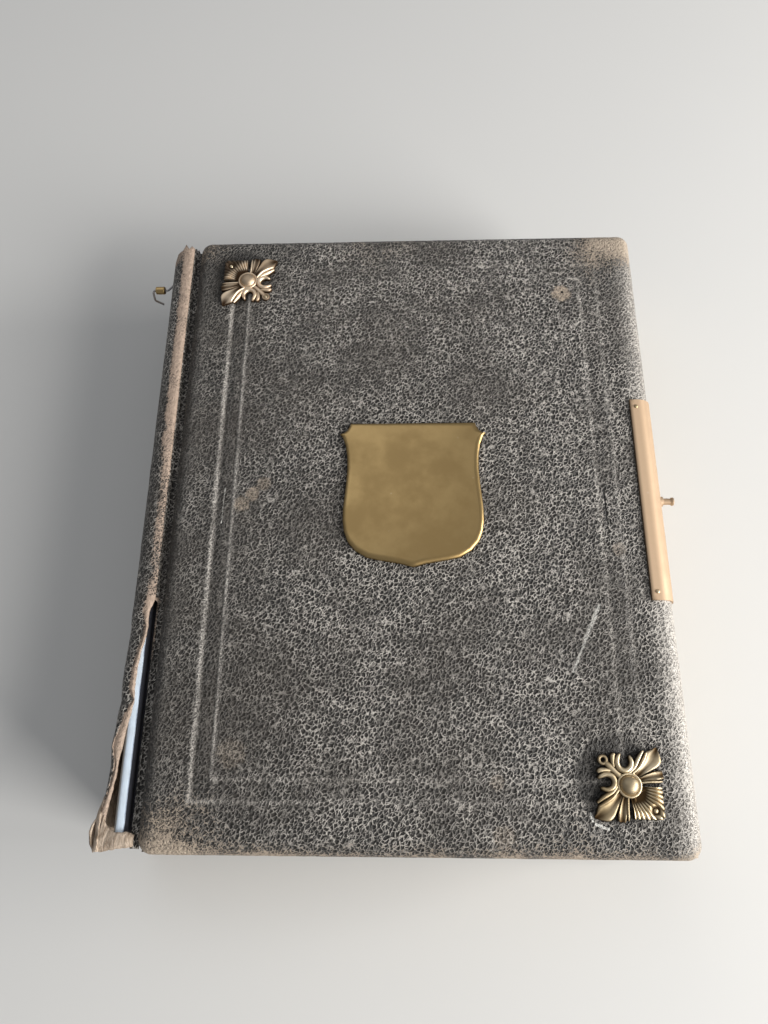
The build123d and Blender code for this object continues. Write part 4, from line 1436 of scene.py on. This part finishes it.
        bm = bmesh.new()
        grid(bm, across + 1, count, place)
        bmesh.ops.recalc_face_normals(bm, faces=bm.faces)
        obj = finish_piece(bm, name, Body.LEAVES, [palette.flesh], Slot.SPINE, (), 70.0)
        skinned(obj, self.scrap_skin)
        return obj

    def tail_scraps(self, palette: Palette) -> list[bpy.types.Object]:
        """The turned-in band across the tail and the curl that stands off beside it."""
        band = (
            (-122.9, -140.6, 52.8, -121.0, -128.0, 53.2), (-120.4, -140.9, 53.0, -119.6, -131.2, 53.4),
            (-117.6, -140.2, 53.4, -117.0, -133.6, 53.9), (-114.8, -139.6, 54.0, -114.6, -134.2, 54.5),
            (-111.6, -139.2, 54.3, -111.4, -134.0, 54.6), (-109.6, -139.2, 54.2, -109.4, -134.4, 54.4),
            (-108.3, -138.8, 53.7, -108.2, -135.0, 53.9),
        )
        curl = (
            (-121.0, -126.6, 51.0, -121.4, -127.2, 53.4), (-123.6, -129.2, 50.0, -124.2, -129.6, 53.9),
            (-124.8, -133.2, 49.2, -125.8, -133.4, 54.0), (-124.4, -137.6, 49.0, -125.4, -138.0, 53.6),
            (-123.4, -141.0, 49.6, -124.0, -141.4, 52.6),
        )
        return [
            self._scrap("tail_turn_in", band, 26, palette),
            self._scrap("tail_curl", curl, 22, palette),
        ]


class Section(Enum):
    """The section of a strand of a cast mount."""

    BEAD = "bead"
    GUTTER = "gutter"


@dataclass(frozen=True)
class Strand:
    """One strand of a corner mount, in its own axes: rows of u, w, half width and height."""

    section: Section
    rows: tuple[Quad, ...]
    count: int = 15
    both: bool = True


@dataclass
class CornerMount:
    """A cast corner mount: domed boss, fluted shell, gutter-shaped leaves, scrolls and an eyelet."""

    node: str
    x: float
    y: float
    turn: float
    # Painted shade on the shell's outer part, for a shell that faces away from the light.
    shade_and_grime: float = 0.0
    top: float = 58.0
    ring: int = 18
    eyelet: float = -13.0
    eyelet_rim: Pair = (1.4, 0.7)
    shell_nail: float = 12.6
    seat_reach: Pair = (1.2, 2.6)
    seat_height: float = 0.85
    depth: Pair = (0.5, 2.2)
    boss_tone: Triple = (0.45, 3.2, 3.7)
    shell_shade_from: Pair = (7.0, 11.0)
    seat: tuple[Pair, ...] = ((2.0, 0.1), (2.0, 0.75), (1.7, 0.95), (1.4, 0.9), (1.25, 0.85), (0.0, 0.85))
    boss: tuple[Pair, ...] = (
        (4.75, 0.0), (4.75, 1.1), (4.55, 1.75), (4.15, 1.95), (3.8, 1.7), (3.62, 1.45), (3.5, 1.75),
        (3.1, 2.65), (2.4, 3.35), (1.5, 3.75), (0.7, 3.93), (0.0, 3.97),
    )
    strands: tuple[Strand, ...] = (
        Strand(
            Section.GUTTER,
            (
                (-0.2, 4.0, 0.9, 1.2), (0.1, 7.4, 1.5, 2.0), (0.2, 10.2, 2.4, 2.5), (0.1, 12.6, 3.4, 2.6),
                (-0.3, 14.2, 3.5, 2.4), (-0.7, 15.6, 2.5, 2.0), (-1.1, 16.8, 1.3, 1.6),
                (-1.5, 17.9, 0.3, 1.0),
            ),
            32,
        ),
        Strand(
            Section.BEAD,
            ((-3.1, 3.2, 0.8, 1.8), (-2.9, 6.4, 0.95, 2.2), (-3.8, 9.8, 0.95, 2.3), (-4.4, 13.2, 0.55, 1.6)),
            18,
        ),
        Strand(
            Section.BEAD,
            ((-1.9, 4.2, 0.7, 2.0), (-1.6, 7.6, 0.75, 2.5), (-2.2, 10.6, 0.8, 2.6), (-3.0, 13.6, 0.5, 1.9)),
            18,
        ),
        Strand(
            Section.GUTTER,
            ((1.5, 4.3, 0.8, 1.5), (3.2, 7.4, 1.3, 2.1), (5.0, 10.0, 1.7, 2.1), (6.4, 11.9, 1.5, 1.5)),
            18,
        ),
        Strand(
            Section.BEAD,
            ((2.6, 3.9, 0.5, 1.6), (4.6, 6.4, 0.6, 1.9), (6.9, 8.8, 0.6, 1.6), (7.9, 10.0, 0.4, 1.2)),
            14,
        ),
        Strand(
            Section.BEAD,
            (
                (-9.9, 6.4, 0.55, 1.3), (-9.6, 4.9, 0.95, 1.9), (-8.6, 3.0, 1.15, 2.2),
                (-6.6, 2.1, 1.2, 2.2), (-4.6, 2.9, 1.2, 2.2), (-3.8, 4.9, 1.15, 2.3),
                (-4.6, 6.9, 1.05, 2.2), (-6.2, 7.9, 0.8, 1.9), (-7.0, 8.3, 0.45, 1.3),
            ),
            30,
        ),
        Strand(
            Section.BEAD,
            ((-8.4, 0.9, 0.8, 1.5), (-10.0, 2.2, 1.0, 1.8), (-11.2, 3.6, 1.1, 1.8), (-11.4, 4.9, 0.75, 1.4)),
            16,
        ),
        Strand(
            Section.BEAD,
            ((-3.8, 0.0, 1.5, 1.6), (-7.0, 0.0, 1.25, 1.8), (-10.2, 0.0, 1.35, 1.8), (-12.0, 0.0, 1.2, 1.3)),
            16, False,
        ),
        Strand(Section.BEAD, ((3.6, 1.4, 0.8, 0.9), (7.0, 4.8, 1.0, 0.9), (9.0, 7.4, 0.7, 0.8)), 10),
    )
    flutes: int = 11
    flute_spread: float = 41.0
    shell_rise: tuple[Pair, ...] = (
        (0.0, 0.5), (0.22, 0.7), (0.45, 1.5), (0.68, 2.1), (0.85, 1.9), (1.0, 1.2),
    )
    shell_root: float = 3.9
    flute_depth: float = 0.75
    shell_edge: float = 12.0
    shell_reach: float = 16.4

    def _at(self, u: float, w: float, h: float) -> Vector:
        """A point of the mount's own axes on the cover, in metres."""
        a = math.radians(self.turn)
        x, y = u * math.cos(a) - w * math.sin(a), u * math.sin(a) + w * math.cos(a)
        return mm(self.x + x, self.y + y, self.top + h)

    def _profile(self, section: Section) -> list[Pair]:
        """A strand's section, as shares of its half width and height."""
        ring = []
        for i in range(self.ring):
            a = 2 * math.pi * i / self.ring
            across, up = math.cos(a), max(math.sin(a), 0.0) ** 0.8
            if section is Section.GUTTER and up > 0.0:
                up = (1.0 - across**6) ** 0.5 * (0.5 + 0.5 * across * across)
            ring.append((across, up))
        return ring

    def _strand(self, bm: bmesh.types.BMesh, strand: Strand, side: float) -> None:
        """Sweeps one strand on one side of the mount."""
        rows = curve_through(strand.rows, strand.count)
        section = self._profile(strand.section)
        rings = []
        for k, (u, w, half, height) in enumerate(rows):
            before, after = rows[max(k - 1, 0)], rows[min(k + 1, len(rows) - 1)]
            run = Vector((after[0] - before[0], (after[1] - before[1]))).normalized()
            ring = []
            for across, up in section:
                pu, pw = u - run.y * across * half, w + run.x * across * half
                ring.append(self._at(pu, side * pw, max(up, 0.0) * max(height, 0.1)))
            rings.append(ring)
        swept(bm, rings)

    def _shell(self, bm: bmesh.types.BMesh) -> None:
        """Adds the fluted shell that spreads towards the cover's corner."""
        across, out = 8 * self.flutes, 16

        def place(i: int, j: int) -> Vector:
            """A point of the shell."""
            share, side = i / out, 2 * j / across - 1
            t = math.radians(self.flute_spread * side)
            reach = self.shell_edge / math.cos(math.radians(45.0 - self.flute_spread * abs(side)))
            r = self.shell_root + (min(reach, self.shell_reach) - self.shell_root) * share
            u, w = r * math.cos(t), r * math.sin(t)
            (height,) = along(self.shell_rise, share)
            crest = abs(math.cos(math.pi * self.flutes * (side + 1) / 2))
            height += self.flute_depth * (crest**0.7 - 0.6) * smooth(share, 0.2, 0.5)
            sunk = 1.0 - smooth(math.hypot(u - self.shell_nail, w), *self.seat_reach)
            return self._at(u, w, height + (self.seat_height - height) * sunk)

        made = grid(bm, out + 1, across + 1, place)
        rim = [e for e in edges_of(made) if e.is_boundary]
        skirt = bmesh.ops.extrude_edge_only(bm, edges=rim)["geom"]
        for vert in (g for g in skirt if isinstance(g, bmesh.types.BMVert)):
            vert.co.z = self.top * MM

    def _spun(self, bm: bmesh.types.BMesh, profile: Sequence[Pair], u: float) -> None:
        """Spins a profile of radius and height about a point of the mount's middle line."""
        verts = [bm.verts.new(self._at(u + r, 0.0, h)) for r, h in profile]
        edges = [bm.edges.new(pair) for pair in zip(verts, verts[1:])]
        bmesh.ops.spin(
            bm,
            geom=verts + edges,
            cent=self._at(u, 0.0, 0.0),
            axis=(0.0, 0.0, 1.0),
            angle=2 * math.pi,
            steps=36,
            use_merge=True,
        )

    def _hollow_and_shade(self, p: Vector) -> float:
        """How deep a point lies in the casting's hollows, with the boss toned as well and painted shade on
        the shell's outer part.
        """
        far = math.hypot(p.x - self.x, p.y - self.y)
        a = math.radians(self.turn)
        out = (p.x - self.x) * math.cos(a) + (p.y - self.y) * math.sin(a)
        tone, *limits = self.boss_tone
        boss = tone * (1.0 - smooth(far, *limits))
        # Painted shade on the shell's outer part, which faces away from the light.
        shell = self.shade_and_grime * smooth(out, *self.shell_shade_from)
        return max(1.0 - smooth(p.z - self.top, *self.depth), boss, shell)

    def build(self, material: bpy.types.Material) -> bpy.types.Object:
        """Builds the mount and dresses it with a brass."""
        bm = bmesh.new()
        for strand in self.strands:
            for side in (1.0, -1.0) if strand.both else (1.0,):
                self._strand(bm, strand, side)
        self._shell(bm)
        self._spun(bm, self.boss, 0.0)
        r, thick = self.eyelet_rim
        turns = (2 * math.pi * i / 12 for i in range(13))
        self._spun(bm, [(r + thick * math.cos(a), thick + thick * math.sin(a)) for a in turns], self.eyelet)
        self._spun(bm, self.seat, self.shell_nail)
        bmesh.ops.remove_doubles(bm, verts=bm.verts, dist=0.002 * MM)
        bmesh.ops.recalc_face_normals(bm, faces=bm.faces)
        obj = finish_piece(bm, self.node, Body.FRONT, [material], Slot.BRASS, [self.node], 75.0)
        paint(obj.data, "hollow_and_shade", self._hollow_and_shade)
        return obj


@dataclass
class ShieldPlate:
    """The bare brass shield: cusped ears, an ogee foot and a rounded rim."""

    x: float = -0.5
    base: float = 58.0
    thick: float = 2.0
    rim: float = 2.4
    wall: float = 0.7
    half_outline: tuple[Pair, ...] = (
        (0.0, 37.4), (14.0, 37.4), (28.0, 37.4), (28.5, 35.6), (29.4, 34.0), (30.9, 32.8), (32.6, 32.3),
        (31.3, 30.8), (29.9, 26.5), (29.1, 21.0), (28.9, 15.0), (29.3, 8.5), (29.9, 2.0), (30.4, -3.5),
        (30.4, -9.0), (29.7, -14.0), (28.0, -18.6), (24.6, -22.6), (19.7, -25.6), (14.8, -26.7),
        (10.0, -27.5), (5.0, -28.4), (1.6, -29.4), (0.0, -29.8),
    )

    def build(self, palette: Palette) -> bpy.types.Object:
        """Builds and dresses the shield."""
        right = list(self.half_outline)
        left = [(-x, y) for x, y in reversed(right[1:-1])]
        bm = bmesh.new()
        verts = [bm.verts.new(mm(self.x + x, y, self.base)) for x, y in reversed(right + left)]
        face = bm.faces.new(verts)
        face.normal_update()
        if face.normal.z < 0:
            face.normal_flip()
        made = bmesh.ops.extrude_face_region(bm, geom=[face])["geom"]
        top = next(g for g in made if isinstance(g, bmesh.types.BMFace))
        top.normal_update()
        if top.normal.z < 0:
            top.normal_flip()
        bmesh.ops.translate(bm, verts=top.verts, vec=(0.0, 0.0, self.wall * MM))
        steps = 6
        for i in range(steps):
            a0, a1 = (math.pi / 2 * k / steps for k in (i, i + 1))
            inset = self.rim * (math.cos(a0) - math.cos(a1))
            rise = (self.thick - self.wall) * (math.sin(a1) - math.sin(a0))
            bmesh.ops.inset_individual(
                bm, faces=[top], thickness=inset * MM, depth=rise * MM, use_even_offset=True
            )
        bmesh.ops.recalc_face_normals(bm, faces=bm.faces)
        dress = [palette.shield]
        obj = finish_piece(bm, "shield_plate", Body.FRONT, dress, Slot.BRASS, ["shield_plate"], 50.0)
        paint(obj.data, "hollow_and_shade", lambda p: 1.0 - smooth(p.z - self.base, 0.0, 0.5))
        return obj


@dataclass
class Fittings:
    """The small brass and steel parts, taken from their CAD solids with their corners eased."""

    # Painted shadow along the plate's inner edge, and painted shade over its bend.
    edge_shadow_x: Pair = (97.05, 97.5)
    edge_shadow_start: Pair = (90.0, 91.0)
    edge_shadow_top: Pair = (57.9, 58.0)
    bend_shade: Triple = (0.40, 101.5, 104.5)
    bend_shade_from: Pair = (40.0, 44.0)
    spring_x: Pair = (89.2, 97.3)

    def _hollow_and_shade(self, p: Vector) -> float:
        """Painted shadow along the clasp plate's inner edge, and painted shade over its bend and on the
        button.
        """
        # Painted shadow cast by the plate along its inner edge.
        edge = (1.0 - smooth(p.x, *self.edge_shadow_x)) * smooth(p.x, *self.edge_shadow_start)
        edge *= smooth(p.z, *self.edge_shadow_top)
        # Painted shade over the bend, which also reaches the button.
        return max(edge, ramp(p.x, self.bend_shade) * smooth(p.z, *self.bend_shade_from))

    def build(self, palette: Palette) -> list[bpy.types.Object]:
        """Builds and dresses the clasp, the catch, the nails, the barrel and the wire."""
        rows = (
            ("clasp_plate", Body.FRONT, palette.plate, Slot.BRASS, 0.18),
            ("clasp_plate_nails", Body.FRONT, palette.mount, Slot.BRASS, 0.05),
            ("mount_nails", Body.FRONT, palette.mount, Slot.BRASS, 0.05),
            ("clasp_button", Body.BUTTON, palette.plate, Slot.BRASS, 0.12),
            ("clasp_spring", Body.FRONT, palette.steel, Slot.STEEL, 0.06),
            ("catch_plate", Body.BACK, palette.plate, Slot.BRASS, 0.15),
            ("catch_plate_nails", Body.BACK, palette.mount, Slot.BRASS, 0.05),
            # The barrel takes the darker shield brass as painted shade: it lies in the album's shadow.
            ("spine_barrel", Body.LEAVES, palette.shield, Slot.BRASS, 0.15),
            ("spine_wire", Body.LEAVES, palette.steel, Slot.STEEL, 0.05),
        )
        pieces = []
        for node, body, material, slot, ease in rows:
            bends = node == "clasp_spring"
            obj = finish_piece(softened(node, ease), node, body, [material], slot, [node], 35.0, not bends)
            paint(obj.data, "hollow_and_shade", self._hollow_and_shade)
            obj.modifiers.new("shade", "WEIGHTED_NORMAL").keep_sharp = True
            if bends:
                toe, crown = (mm(x, 0, 0) for x in self.spring_x)
                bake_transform(obj)
                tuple(toe)
                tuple(crown)
            pieces.append(obj)
        return pieces


@dataclass
class Leaves:
    """The block of card leaves, its pale lining, and the plain papers and boards of the covers."""

    count: int = 20
    low: float = 8.8
    high: float = 49.2
    back: float = -113.5
    fore: float = 101.75
    half: float = 135.0
    gap: float = 0.16
    uneven: float = 0.35
    rounding: float = 0.45
    joint_x: float = -111.0

    def block(self, palette: Palette) -> bpy.types.Object:
        """The leaves, each a thick card with its own slightly uneven edges."""
        bm = bmesh.new()
        pitch = (self.high - self.low) / self.count
        for i in range(self.count):
            slack = [self.uneven * ripple(i, 0.0, k, 0.73) for k in range(3)]
            x0, x1 = self.back, self.fore - self.uneven + slack[0]
            y0, y1 = -self.half + self.uneven + slack[1], self.half - self.uneven + slack[2]
            z0, z1 = self.low + i * pitch + self.gap, self.low + (i + 1) * pitch - self.gap
            card = bmesh.ops.create_cube(bm, size=1.0)["verts"]
            for vert in card:
                vert.co = mm(
                    x0 if vert.co.x < 0 else x1, y0 if vert.co.y < 0 else y1, z0 if vert.co.z < 0 else z1
                )
            eased(bm, edges_of(card), self.rounding, 3)
        shoulder = softened("page_block", 0.2)
        near = [v for v in shoulder.verts if v.co.x > self.joint_x * MM]
        bmesh.ops.delete(shoulder, geom=near, context="VERTS")
        for face in shoulder.faces:
            # Shoulder faces that don't face the head or the tail take the near-black painted shade of the
            # joint's gap.
            face.material_index = 1 if abs(face.normal.y) < 0.5 else 0
        rest = bpy.data.meshes.new("shoulder")
        shoulder.to_mesh(rest)
        shoulder.free()
        bm.from_mesh(rest)
        bpy.data.meshes.remove(rest)
        dress = [palette.leaves, palette.shoulder_shade]
        return finish_piece(bm, "page_block", Body.LEAVES, dress, Slot.LEAVES, ["page_block"], 40.0)

    def papers(self, palette: Palette) -> list[bpy.types.Object]:
        """The lining, the pastedowns and the boards."""
        rows = (
            ("spine_lining", Body.LEAVES, palette.lining, Slot.LINING, 0.1),
            ("front_pastedown", Body.FRONT, palette.paper, Slot.PAPER, 0.1),
            ("back_pastedown", Body.BACK, palette.paper, Slot.PAPER, 0.1),
            ("front_board", Body.FRONT, palette.board, Slot.BOARD, 0.1),
            ("back_board", Body.BACK, palette.board, Slot.BOARD, 0.1),
        )
        return [
            finish_piece(softened(node, ease), node, body, [material], slot, [node], 35.0)
            for node, body, material, slot, ease in rows
        ]


@dataclass(frozen=True)
class Lamp:
    """One soft square lamp, in metres and watts."""

    name: str
    place: Triple
    aim: Triple
    size: float
    power: float
    colour: Triple

    def hang(self) -> None:
        """Puts the lamp in the scene, turned to its aim."""
        lamp = bpy.data.lights.new(self.name, "AREA")
        lamp.size, lamp.energy, lamp.color = self.size, self.power, self.colour
        obj = bpy.data.objects.new(self.name, lamp)
        obj.location = self.place
        obj.rotation_euler = (Vector(self.aim) - Vector(self.place)).to_track_quat("-Z", "Y").to_euler()
        bpy.context.scene.collection.objects.link(obj)


@dataclass
class Studio:
    """Pale floor, soft light and the camera at the photograph's angle."""

    lens: float = 27.04
    sensor: float = 36.0
    place: Triple = (-0.00046, -0.11994, 0.37014)
    angles: Triple = (6.248, 20.361, -6.166)
    floor_colour: Colour = (0.60, 0.592, 0.575, 1.0)
    floor_shade: Colour = (0.54, 0.532, 0.515, 1.0)
    sky: Colour = (0.86, 0.89, 0.93, 1.0)
    floor_half: float = 4.0
    floor_rough: float = 0.85
    sky_strength: float = 0.32
    lamps: tuple[Lamp, ...] = (
        Lamp("window", (1.15, -0.75, 0.70), (0.0, 0.0, 0.03), 0.7, 29.0, (1.0, 0.985, 0.96)),
        Lamp("side", (1.20, 0.02, 0.44), (0.05, 0.0, 0.05), 0.45, 13.0, (1.0, 0.99, 0.97)),
        Lamp("fill", (-0.5, 0.9, 1.5), (0.0, 0.0, 0.03), 1.4, 5.0, (0.97, 0.98, 1.0)),
    )

    def floor(self) -> None:
        """A plain pale floor under the album."""
        bm = bmesh.new()
        bmesh.ops.create_grid(bm, x_segments=1, y_segments=1, size=self.floor_half)
        mesh = bpy.data.meshes.new("floor")
        bm.to_mesh(mesh)
        bm.free()
        material, sheet, shader = new_material("floor_paper")
        tone = sheet.step(sheet.noise(sheet.place(), 9.0), 0.3, 0.7, 0.0, 0.06)
        sheet.feed(shader.inputs["Base Color"], sheet.blend(tone, self.floor_colour, self.floor_shade))
        shader.inputs["Roughness"].default_value = self.floor_rough
        mesh.materials.append(material)
        floor = bpy.data.objects.new("floor", mesh)
        bpy.context.scene.collection.objects.link(floor)

    def light(self) -> None:
        """A broad window light from the lower right, a low light along the fore edge and an even fill."""
        for lamp in self.lamps:
            lamp.hang()
        world = bpy.data.worlds.new("studio")
        world.use_nodes = True
        back = world.node_tree.nodes["Background"]
        back.inputs["Color"].default_value = self.sky
        back.inputs["Strength"].default_value = self.sky_strength
        bpy.context.scene.world = world

    def camera(self) -> None:
        """The camera that took the photograph, worked out from the cover's corners."""
        lens = bpy.data.cameras.new("camera")
        lens.sensor_fit = "VERTICAL"
        lens.sensor_height = self.sensor
        lens.lens = self.lens
        lens.clip_start, lens.clip_end = 0.01, 20.0
        obj = bpy.data.objects.new("camera", lens)
        roll, tilt, turn = (math.radians(a) for a in self.angles)
        spin = Matrix.Rotation(roll, 4, "Z") @ Matrix.Rotation(tilt, 4, "X") @ Matrix.Rotation(turn, 4, "Z")
        obj.matrix_world = Matrix.Translation(self.place) @ spin
        bpy.context.scene.collection.objects.link(obj)
        bpy.context.scene.camera = obj
        bpy.context.scene.view_settings.view_transform = "Standard"

    def build(self) -> None:
        """Sets the whole studio up."""
        self.camera()
        self.floor()
        self.light()


def main() -> None:
    """Builds the album's pieces in order."""
    logging.basicConfig(level=logging.INFO, format="%(name)s %(message)s")
    Studio().build()
    palette = Palette.build()
    CoverLeather(Body.FRONT, "front_leather", 58.0, 1.0, True).build(palette.cover)
    CoverLeather(Body.BACK, "back_leather", 0.0, -1.0, False).build(palette.back)
    spine = SpineLeather()
    spine.wrap(palette)
    spine.front_joint(palette)
    spine.back_joint(palette)
    spine.tail_scraps(palette)
    leaves = Leaves()
    leaves.block(palette)
    leaves.papers(palette)
    ShieldPlate().build(palette)
    # The upper-left mount's shell takes painted shade, as it faces away from the light.
    CornerMount("corner_mount_upper_left", -80.5, 115.6, 135.0, 0.75).build(palette.worn_mount)
    CornerMount("corner_mount_lower_right", 80.5, -115.6, -45.0).build(palette.mount)
    Fittings().build(palette)


if __name__ == "__main__":
    main()
